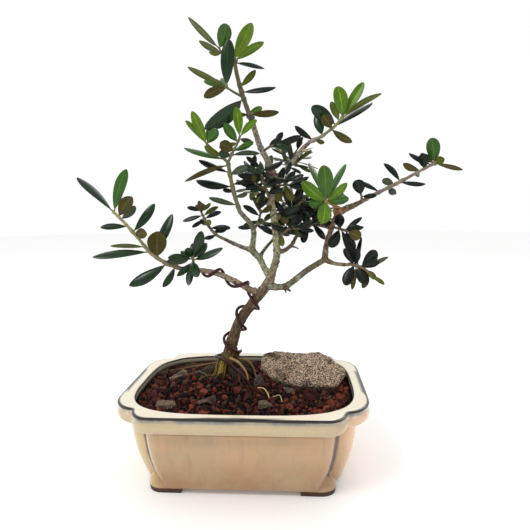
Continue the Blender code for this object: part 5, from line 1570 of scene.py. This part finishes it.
# Masses in the middle: stem points, foot radius, side twigs, leaf length and looks by rule, and the listed
# leaves.
centreMasses = {
    "leaves_fork": (
        ((5.4, 1.6, 153), (8.5, 4, 159), (10, 6.5, 166)), 0.95, 2, 11.0, "kkn", (
            (0.7, 147, 10, 13, 3.8, "k"), (0.12, 180, 10, 12, 3.2, "k"), (0.25, 346, 20, 10, 3.2, "k"),
            (0.95, 120, -20, 11, 4, "k"), (0.85, 30, 25, 10, 4, "n"), (0.5, 198, -10, 11, 3.6, "d"))),
    "leaves_leader_twig": (
        ((16.8, 4.6, 171.5), (13.4, 2, 179), (10.8, 0, 191)), 0.95, 4, 12.0, "kkkns", (
            (0.68, 167, 8, 17, 4.2, "k"), (0.6, 197, 12, 13, 3.8, "k"), (0.42, 243, 20, 13, 5.2, "k"),
            (0.08, 192, 35, 11, 6.4, "o"), (0.98, 138, 0, 13, 3.6, "k"), (0.97, 20, 10, 14.5, 3.8, "k"),
            (0.95, 326, 35, 11, 4.2, "k"), (0.72, 356, 25, 15.5, 4.8, "k"), (0.3, 155, 0, 15, 4.2, "s"),
            (0.3, 12, 30, 12, 4.2, "k"), (0.5, 172, -20, 16, 4, "k"), (0.85, 158, 20, 15, 4.4, "d"),
            (0.15, 225, 20, 12, 4, "k"), (0.88, 200, 25, 12, 3.4, "k"))),
    "leaves_leader_knob": (
        ((18.4, 4.6, 178.6), (22, 1, 181), (27, -1, 181)), 0.95, 2, 12.0, "kkn", (
            (0.55, 261, 12, 11, 5.2, "n"), (0.85, 298, 12, 11.5, 4.8, "n"), (0.98, 20, 0, 15, 3.2, "k"),
            (0.98, 352, 15, 12, 4.4, "k"), (0.5, 75, 0, 12, 4.2, "k"), (0.75, 48, -10, 12, 4.2, "k"),
            (0.3, 150, 20, 10, 4, "k"))),
    "leaves_leader_right": (
        ((11.4, 4.8, 203), (16.4, 2.4, 205.6), (20, 3, 207)), 0.9, 1, 12.0, "kkd", (
            (0.4, 28, 10, 10, 5.2, "k"), (0.97, 17, 0, 17, 4.6, "k"), (0.8, 345, 15, 11, 4.2, "d"),
            (0.95, 60, -20, 10, 4, "k"))),
    "leaves_centre_low": (
        ((20, 5, 147), (26, 3.5, 152), (31, 3, 155)), 0.95, 3, 12.0, "kkn", (
            (0.3, 118, 10, 10, 4.4, "n"), (0.5, 355, 10, 10.5, 3.6, "k"), (0.3, 275, 15, 8, 4, "o"),
            (0.75, 70, 5, 11, 4.4, "k"), (0.95, 12, 10, 12, 4, "k"), (0.95, 325, 20, 11, 4.2, "k"),
            (0.6, 160, 15, 11, 3.8, "k"), (0.98, 50, -20, 12, 4, "k"))),
    "leaves_centre": (
        ((18.4, 5, 162), (27, 8, 165), (35, 12, 169)), 0.95, 5, 13.0, "kkkn", (
            (0.12, 17, 30, 17, 5.2, "k"), (0.2, 352, 40, 11.5, 4.6, "d"), (0.95, 84, 5, 12, 5.4, "k"),
            (0.9, 320, 30, 13.5, 5.2, "k"), (0.95, 300, 25, 13.5, 5.6, "k"), (0.98, 332, 0, 12, 5.2, "k"),
            (0.25, 300, 35, 9.5, 5.4, "n"), (0.6, 110, 15, 13, 4.6, "k"), (0.65, 60, 20, 14, 4.4, "k"),
            (0.4, 140, -5, 12, 4.2, "k"), (0.98, 20, -10, 13, 4.6, "k"), (0.75, 280, 30, 12, 4.8, "k"))),
    "leaves_centre_right": (
        ((37.3, 17.2, 151.2), (43, 21, 155), (48, 25, 160)), 0.95, 4, 13.0, "kkkn", (
            (0.6, 308, 35, 15.5, 4.4, "k"), (0.3, 100, 25, 13, 5.2, "k"), (0.55, 62, 25, 13, 5, "k"),
            (0.8, 120, 10, 13, 4.4, "k"), (0.9, 340, 20, 12, 4.6, "k"), (0.3, 250, 30, 12, 5.2, "k"),
            (0.97, 80, 0, 13, 5, "k"), (0.2, 160, 25, 13, 4.6, "k"), (0.8, 20, 30, 13, 4.2, "n"))),
    "leaves_centre_back": (
        ((16.9, 19.7, 145.4), (20, 24, 149), (26, 29, 154)), 0.95, 4, 12.5, "kkn", (
            (0.3, 150, 10, 12, 4.4, "k"), (0.5, 100, 10, 12, 4.4, "k"), (0.6, 10, 10, 13, 4.2, "k"),
            (0.95, 60, 0, 13, 4.6, "k"), (0.9, 340, 10, 12, 4.2, "k"), (0.95, 130, 0, 12, 4.2, "k"))),
}
# Masses at the back that follow the growing rule alone: stem points, leaf pairs, side twigs, leaf length and
# looks.
ruleMasses = {
    "leaves_back_low": (((27.1, 47.5, 166.3), (28, 55, 168), (27, 62, 173)), 6, 7, 14.0, "dddkgo"),
    "leaves_back_middle": (((4.9, 42.5, 177.4), (3, 50, 182), (3, 57, 189)), 6, 7, 14.0, "dddkgo"),
    "leaves_back_upper": (((27.2, 36.4, 194.4), (30, 43, 199), (31, 48, 206)), 6, 6, 14.0, "ddgko"),
    "leaves_back_right": (((44.9, 42.5, 158.4), (46, 50, 163), (49, 56, 169)), 6, 7, 14.0, "dddkgo"),
}
centreRules = {}
for mass, (stem, footRadius, twigs, size, looks, leaves) in centreMasses.items():
    shownMasses[mass] = ((stem, footRadius, 0.6, leaves),)
    centreRules[mass] = (stem, 0, twigs, size, looks)
ruleMasses = {**centreRules, **ruleMasses}
flatMasses = set(centreMasses) - {"leaves_leader_right"}  # flattened and turned to the front
leafPlan = {
    "seed": 4,
    "splayFoot": 68.0,
    "splayTip": 38.0,
    "ratio": 0.34,
    "thickness": 0.34,
    "stations": (13, 9),
    "large": 15.0,
    "stalk": 0.06,  # share of the length before the blade
    "topSteps": (-1.0, -0.72, -0.4, -0.07, 0.07, 0.4, 0.72, 1.0),
    "underSteps": (0.62, 0.1, -0.1, -0.62),
    "leastWidth": 0.27,  # share of the length
    "turnsTried": (0, 8, -8, 16, -16, 26, -26),
    "twigShare": 0.55,
    "twigTurn": 137.5,
    "twigPairs": 3,
    "stemRadii": (0.95, 0.6),
    "twigRadii": (0.7, 0.45),
    "margin": 1.4,
    "rooted": 1.3,
    "flatten": 0.45,
}
# Each look: name, upper side, lower side, midrib, roughness, and whether it shows its underside.
leafLooks = {
    "d": ("dark", (17, 43, 15), (64, 74, 34), (34, 64, 28), 0.24, False),
    # the shade look is a darker copy of the dark leaves for those inside the crown: painted shade
    "k": ("shade", (10, 21, 12), (46, 48, 22), (22, 38, 20), 0.28, False),
    "g": ("green", (45, 86, 14), (84, 100, 28), (76, 112, 34), 0.27, False),
    "b": ("bright", (78, 112, 8), (100, 130, 20), (118, 150, 44), 0.30, False),
    "r": ("rosette", (54, 88, 4), (82, 110, 12), (84, 116, 24), 0.24, False),
    "B": ("brightUnder", (58, 98, 12), (88, 116, 20), (108, 134, 42), 0.40, True),
    "o": ("olive", (36, 62, 18), (78, 88, 20), (96, 104, 38), 0.44, True),
    "s": ("silver", (26, 48, 26), (62, 72, 52), (78, 88, 64), 0.46, True),
    "p": ("pale", (44, 62, 32), (84, 92, 50), (112, 120, 74), 0.46, True),
    "n": ("brown", (32, 46, 16), (68, 62, 16), (86, 80, 30), 0.46, True),
}


def bearing(turn, lean):
    turn, lean = math.radians(turn), math.radians(lean)
    return Vector((math.cos(turn) * math.cos(lean), -math.sin(lean), math.sin(turn) * math.cos(lean)))


def leafStations(count):
    # Places along the blade, closer together towards its ends.
    for i in range(count):
        step = i + (0.35 if i == 0 else 0)
        yield 1.0 if i == count - 1 else 0.5 - 0.5 * math.cos(math.pi * step / (count - 1))


def leafFaces(stations):
    ring = len(leafPlan["topSteps"]) + len(leafPlan["underSteps"])
    faces, slots = [], []
    for i in range(stations - 1):
        for k in range(ring):
            beside = (k + 1) % ring
            faces.append((i * ring + k, (i + 1) * ring + k, (i + 1) * ring + beside, i * ring + beside))
            slots.append({3: 1, 9: 1}.get(k, 0 if k < 7 else 2))
    last = (stations - 1) * ring
    faces += [tuple(range(ring)), tuple(last + k for k in range(ring - 1, -1, -1))]
    return faces, slots + [2, 2]


def leafShape(foot, along, normal, length, width, bend, cup, rng):
    # A closed leathery blade on an arc from foot to tip, with a midrib of its own faces on both sides.
    stations = leafPlan["stations"][0 if length > leafPlan["large"] else 1]
    normal = (normal - normal.dot(along) * along).normalized()
    side = along.cross(normal)
    broad = min(1.0, max(0.0, (width / length - 0.22) / 0.3))
    rise, fall = 0.86 - 0.08 * broad, 0.66 - 0.13 * broad
    peak = rise / (rise + fall)
    most = peak ** rise * (1 - peak) ** fall
    sway = rng.uniform(-0.05, 0.05) * length
    twist = rng.uniform(-0.22, 0.22)
    ripple, phase = rng.uniform(0.0, 0.035), rng.uniform(0, math.tau)
    chord = length * (1 - leafPlan["stalk"])
    spot = foot + along * length * leafPlan["stalk"]
    arc = chord * (bend / 2) / math.sin(bend / 2) if abs(bend) > 0.02 else chord
    points = []
    before = 0.0
    for t in leafStations(stations):
        angle = bend * (0.5 - (t + before) / 2)
        spot = spot + (along * math.cos(angle) + normal * math.sin(angle)) * arc * (t - before)
        before = t
        turn, roll = bend * (0.5 - t), twist * (t - 0.3)
        flat = normal * math.cos(turn) - along * math.sin(turn)
        out = side * math.cos(roll) + flat * math.sin(roll)
        up = flat * math.cos(roll) - side * math.sin(roll)
        half = width / 2 * t ** rise * (1 - t) ** fall / most * (1 + ripple * math.sin(7 * t + phase))
        half = max(half, 0.28 * (1 - t) + 0.02)
        centre = spot + side * sway * 4 * t * (1 - t)
        thick = leafPlan["thickness"] * min(1.0, half / 1.2)
        for u in leafPlan["topSteps"]:
            lift = -cup * half * abs(u) ** 1.8 + (0.10 * min(1, half) if abs(u) in (0.4, 0.72) else 0.0)
            points.append(centre + out * u * half + up * lift)
        for u in leafPlan["underSteps"]:
            drop = thick * (1.5 if abs(u) < 0.2 else 1.0)
            points.append(centre + out * u * half + up * (-cup * half * abs(u) ** 1.8 - drop))
    return points, *leafFaces(stations)


def leafOutline(foot, along, normal, length, width):
    # A coarse stand-in of a blade for the touch tests.
    normal = (normal - normal.dot(along) * along).normalized()
    side = along.cross(normal)
    middle = foot + along * length * 0.5 + normal * 0.05 * length
    points = [foot + along * length * 0.12, middle + side * width * 0.42, foot + along * length * 0.97,
              middle - side * width * 0.42]
    return points, [(0, 1, 2), (0, 2, 3)]


def facingNormal(foot, along, length, width, real, underside, rng):
    # Turns a blade about its axis so that it shows its listed width, with its upper side towards the sky.
    sight = (Vector(cameraPlan["spot"]) - (foot + along * length / 2)).normalized()
    flat = (sight - sight.dot(along) * along).normalized()
    edge = along.cross(flat)
    roll = math.acos(min(1.0, width / real))
    front = -flat if underside else flat
    choices = [front * math.cos(roll) + edge * math.sin(roll) * sign for sign in (-1, 1)]
    return max(choices, key=lambda n: n.z + 0.05 * rng.random())


leafBatches = {look: Batch() for look in leafLooks}
leafMasses = {look: set() for look in leafLooks}
twigBatch = Batch()
leafTrees = []
leafCount = {"kept": 0, "skipped": 0}


def touches(tree, others):
    return any(tree.overlap(other) for other in others)


def addLeaf(mass, foot, along, normal, length, width, look, rng, own, forced):
    bend = rng.uniform(0.18, 0.62) if length > 12 else rng.uniform(0.1, 0.45)
    cup = rng.uniform(0.15, 0.42)
    if look in "br":
        cup = rng.uniform(-0.3, -0.08)
    tree = treeOf(*leafOutline(foot, along, normal, length, width))
    if touches(tree, [barkTree, wireTree]) or (not forced and touches(tree, leafTrees + own)):
        leafCount["skipped"] += 1
        return False
    own.append(tree)
    leafBatches[look].add(*leafShape(foot, along, normal, length, width, bend, cup, rng))
    leafMasses[look].add(mass)
    stalk = [foot, foot + along * length * 0.045, foot + along * length * 0.1]
    thick = min(0.55, 0.22 + 0.016 * length)
    points, faces = ringsAlong(stalk, [thick * 1.35, thick, thick * 0.8], 6)
    # stalks of shade-look leaves are darker: painted shade
    tint = linear(76, 70, 40) if look == "k" else linear(112, 110, 52)
    twigBatch.add(points, faces, tones=[tint] * len(points))
    leafCount["kept"] += 1
    return True


def addTwig(path, footRadius, tipRadius, footShadeTone, tipTone, pairs):
    # A twig that starts inside its limb and swells where its leaves stand.
    knots = [Vector(p) for p in path]
    knots[0] += (knots[0] - knots[1]).normalized() * leafPlan["rooted"]
    fine, places = smoothPath(knots, 1.1)
    low, high = Vector(linear(*footShadeTone)), Vector(linear(*tipTone))
    radii, tones = [], []
    for point, spot in zip(fine, places):
        radius = footRadius + (tipRadius - footRadius) * spot
        for pair in pairs:
            radius *= 1 + 0.28 * math.exp(-((spot - pair) / 0.025) ** 2)
        radii.append(radius * (1 + 0.07 * noise.noise(point * 0.8)))
        shade = 1 + 0.35 * noise.noise(point * 0.5 + Vector((2, 2, 2)))
        tones += [tuple(low.lerp(high, spot) * shade * 0.72)] * 10
    twigBatch.add(*ringsAlong(fine, radii, 10), tones=tones)


# Colour at foot and tip on screen.
twigTones = {
    "leaves_top": ((104, 90, 68), (112, 108, 56)),
    "leaves_left_upper": ((124, 116, 84), (122, 118, 66)),
    "leaves_left": ((140, 122, 88), (186, 178, 120)),
    "leaves_left_low": ((150, 122, 84), (150, 132, 84)),
    "leaves_upper_right": ((160, 142, 128), (140, 146, 70)),
    "leaves_right_tip": ((140, 124, 104), (150, 136, 108)),
    "leaves_rosette": ((170, 122, 74), (186, 132, 78)),
    "leaves_right_low": ((122, 102, 78), (122, 104, 60)),
}


def growListedLeaf(mass, path, leaf, rng, own):
    # Tried at its own lean, then a little either way until it clears its neighbours.
    spot, turn, lean, length, width, look = leaf
    foot = between(path, spot)
    real = max(width, leafPlan["leastWidth"] * length)

    def grow(shift, forced):
        along = bearing(turn, lean + shift)
        normal = facingNormal(foot, along, length, width, real, leafLooks[look][5], rng)
        return addLeaf(mass, foot, along, normal, length, real, look, rng, own, forced)

    if not any(grow(shift, False) for shift in leafPlan["turnsTried"]):
        grow(0, True)


def growShown(rng):
    for mass, shoots in shownMasses.items():
        own = []
        tones = twigTones.get(mass, ((112, 96, 72), (116, 104, 64)))
        for knots, foot, tip, leaves in shoots:
            addTwig(knots, foot, tip, *tones, [leaf[0] for leaf in leaves])
            path, _ = smoothPath(knots, 1.5)
            for leaf in leaves:
                growListedLeaf(mass, path, leaf, rng, own)
        leafTrees.extend(own)


def acrossOf(path):
    # A path's heading and two directions square to it.
    ahead = (path[-1] - path[0]).normalized()
    side = ahead.cross(Vector((0.2, 1, 0.1))).normalized()
    return ahead, side, side.cross(ahead)


def rulePairs(path, pairs, size, rng):
    roll = rng.uniform(0, 180)
    ahead, side, front = acrossOf(path)
    for i in range(pairs):
        spot = min((i + 0.8) / pairs if pairs > 1 else 0.9, 0.99)
        roll += 90 + rng.uniform(-14, 14)
        splay = math.radians(leafPlan["splayFoot"] + (leafPlan["splayTip"] - leafPlan["splayFoot"]) * spot)
        for half in (0, 180):
            turn = math.radians(roll + half)
            out = side * math.cos(turn) + front * math.sin(turn)
            along = (ahead * math.cos(splay) + out * math.sin(splay)).normalized()
            length = size * rng.uniform(0.72, 1.12)
            width = length * leafPlan["ratio"] * rng.uniform(0.95, 1.25)
            yield between(path, spot), along, ahead, length, width


def ruleTwigs(knots, twigs, rng):
    stem, _ = smoothPath(knots, 3.0)
    length = distances(stem)[-1]
    turn = rng.uniform(0, 360)
    ahead, side, front = acrossOf(stem)
    for k in range(twigs):
        foot = between(stem, 0.2 + 0.65 * k / max(1, twigs - 1))
        turn += leafPlan["twigTurn"]
        out = side * math.cos(math.radians(turn)) + front * math.sin(math.radians(turn))
        heading = (0.65 * ahead + out).normalized()
        reach = max(8.0, leafPlan["twigShare"] * length) * rng.uniform(0.85, 1.15)
        yield [foot, foot + heading * 0.5 * reach, foot + heading * reach + ahead * 0.15 * reach]


def twigBlocked(path, radius):
    line, _ = smoothPath(path, 3.0)
    skin = treeOf(*ringsAlong(line, [radius] * len(line), 4))
    return touches(skin, [barkTree, wireTree, *leafTrees])


def growByRule(rng):
    margin = Vector((leafPlan["margin"],) * 3)
    for mass, (knots, pairs, twigs, size, looks) in ruleMasses.items():
        own = []
        flat = mass in flatMasses
        low, high = ((corner - potShift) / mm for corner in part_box(mass))
        low, high = low - margin, high + margin
        shoots = [([Vector(k) for k in knots], *leafPlan["stemRadii"], pairs)] if pairs else []
        shoots += [(path, *leafPlan["twigRadii"], leafPlan["twigPairs"])
                   for path in ruleTwigs(knots, twigs, rng)]
        for number, (path, foot, tip, count) in enumerate(shoots):
            if (number or not pairs) and twigBlocked(path, foot):
                continue
            addTwig(path, foot, tip, (112, 96, 70), (120, 108, 62), [(i + 0.8) / count for i in range(count)])
            fine, _ = smoothPath(path, 1.5)
            for footPoint, along, ahead, length, width in rulePairs(fine, count, size, rng):
                if flat:
                    along = Vector((along.x, along.y, leafPlan["flatten"] * along.z)).normalized()
                tipPoint = footPoint + along * length
                if any(tipPoint[i] < low[i] or tipPoint[i] > high[i] for i in range(3)):
                    leafCount["skipped"] += 1
                    continue
                normal = 0.5 * ahead + Vector((0, -0.9 if flat else 0, 0.9))
                look = looks[rng.randrange(len(looks))]
                addLeaf(mass, footPoint, along, normal, length, width, look, rng, own, False)
        leafTrees.extend(own)


def leafMaterial(name, colour, rough, fresh):
    material, tree, shader, spot = newMaterial(name, Specular_IOR_Level=0.34 if fresh else 0.24)
    cloud = mottle(tree, spot, 210.0, 1.7)
    fine = mottle(tree, spot, 1400.0, 1.2)
    deep, light, bright = (tuple(min(1.0, v * share) for v in linear(*colour)) for share in (0.72, 1.28, 1.8))
    shade = mixColour(tree, cloud, deep, light)
    shade = mixColour(tree, times(tree, specks(tree, spot, 1100.0, 0.35, 0.2), 0.12), shade, bright)
    sheen = ramp(tree, fine, 0.2, 0.8, rough - 0.05, rough + 0.08)
    finishSurface(tree, shader, shade, sheen, plus(tree, cloud, times(tree, fine, 0.3)), 0.12, 0.5)
    return material


def makeLeaves():
    rng = random.Random(leafPlan["seed"])
    growShown(rng)
    growByRule(rng)
    for look, batch in leafBatches.items():
        name, upper, lower, rib, rough, _ = leafLooks[look]
        piece = joinedMesh(f"leaves_{name}", batch.points, batch.faces, batch.slots)
        piece.data.materials.append(leafMaterial(f"{name}Upper", upper, rough, look in "dgr"))
        piece.data.materials.append(leafMaterial(f"{name}Rib", rib, rough + 0.1, False))
        piece.data.materials.append(leafMaterial(f"{name}Lower", lower, rough + 0.2, False))
        makeActive(piece)
        bpy.ops.object.shade_smooth_by_angle(angle=math.radians(60))
        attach(piece, "root")
        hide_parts(*sorted(leafMasses[look]))
    twigs = joinedMesh("twigs", twigBatch.points, twigBatch.faces)
    setTone(twigs, twigBatch.tones)
    twigs.data.materials.append(toneMaterial("twigSkin", 0.62, 0.12))
    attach(twigs, "root")
    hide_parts(*massNames)
    print("leaves", leafCount, "twig points", len(twigBatch.points))


makeLeaves()


# Floor, light and camera

floorPlan = {
    "radius": 3.2,  # metres
    "tones": ((0.86, 0.855, 0.845), (0.90, 0.895, 0.885)),
    "glow": ((1.0, 0.99, 0.97, 1.0), 0.12),
}


def makeFloor():
    deselectAll()
    bpy.ops.mesh.primitive_circle_add(vertices=96, radius=floorPlan["radius"], fill_type="NGON",
                                      location=(0, 0, 0))
    floor = bpy.context.object
    floor.name = "paleFloor"
    colour, strength = floorPlan["glow"]
    material, tree, shader, spot = newMaterial("paleFloor", Roughness=0.85, Emission_Color=colour,
                                               Emission_Strength=strength)
    tone = mixColour(tree, mottle(tree, spot, 3.0, 0.4), *floorPlan["tones"])
    tree.links.new(tone, shader.inputs["Base Color"])
    floor.data.materials.append(material)


makeFloor()


def makeCamera():
    pitch, yaw, roll = (math.radians(cameraPlan[key]) for key in ("pitch", "yaw", "roll"))
    ahead = Vector((-math.sin(yaw) * math.cos(pitch), math.cos(yaw) * math.cos(pitch), -math.sin(pitch)))
    right = Vector((math.cos(yaw), math.sin(yaw), 0))
    up = right.cross(ahead)
    across = right * math.cos(roll) + up * math.sin(roll)
    over = up * math.cos(roll) - right * math.sin(roll)
    data = bpy.data.cameras.new("camera")
    data.lens = cameraPlan["lens"]
    data.sensor_width = 36
    data.clip_start = 0.01
    data.clip_end = 20
    camera = bpy.data.objects.new("camera", data)
    bpy.context.scene.collection.objects.link(camera)
    turn = Matrix((across, over, -ahead)).transposed().to_4x4()
    camera.matrix_world = Matrix.Translation(Vector(cameraPlan["spot"]) * mm + potShift) @ turn
    bpy.context.scene.camera = camera


makeCamera()

# Lamps: place, what they point at, size and power.
lamps = {
    "key": ((-0.62, -0.62, 1.05), (0, 0, 0.14), 0.45, 6.5),
    "back": ((0.35, 0.8, 0.9), (0, 0, 0.16), 0.7, 2.5),
}
roomPlan = {"front": 0.58, "wall": 1.02, "tint": (0.985, 0.99, 1.0)}


def makeLamps():
    for name, (spot, target, size, power) in lamps.items():
        data = bpy.data.lights.new(name, "AREA")
        data.size = size
        data.energy = power
        lamp = bpy.data.objects.new(name, data)
        bpy.context.scene.collection.objects.link(lamp)
        lamp.location = spot
        lamp.rotation_euler = (Vector(target) - Vector(spot)).to_track_quat("-Z", "Y").to_euler()


def makeRoom():
    # A pale room, dimmer on the viewer's side.
    world = bpy.data.worlds.new("paleRoom")
    world.use_nodes = True
    tree = world.node_tree
    heading = node(tree, "ShaderNodeTexCoord").outputs["Generated"]
    _, ahead, up = node(tree, "ShaderNodeSeparateXYZ", {0: heading}).outputs
    share = calculate(tree, "MAXIMUM", ramp(tree, ahead, -0.8, 0.1), ramp(tree, up, 0.35, 0.9))
    background = tree.nodes["Background"]
    tree.links.new(ramp(tree, share, 0.0, 1.0, roomPlan["front"], roomPlan["wall"]), background.inputs[1])
    background.inputs[0].default_value = (*roomPlan["tint"], 1.0)
    bpy.context.scene.world = world
    bpy.context.scene.view_settings.view_transform = "Standard"


makeLamps()
makeRoom()
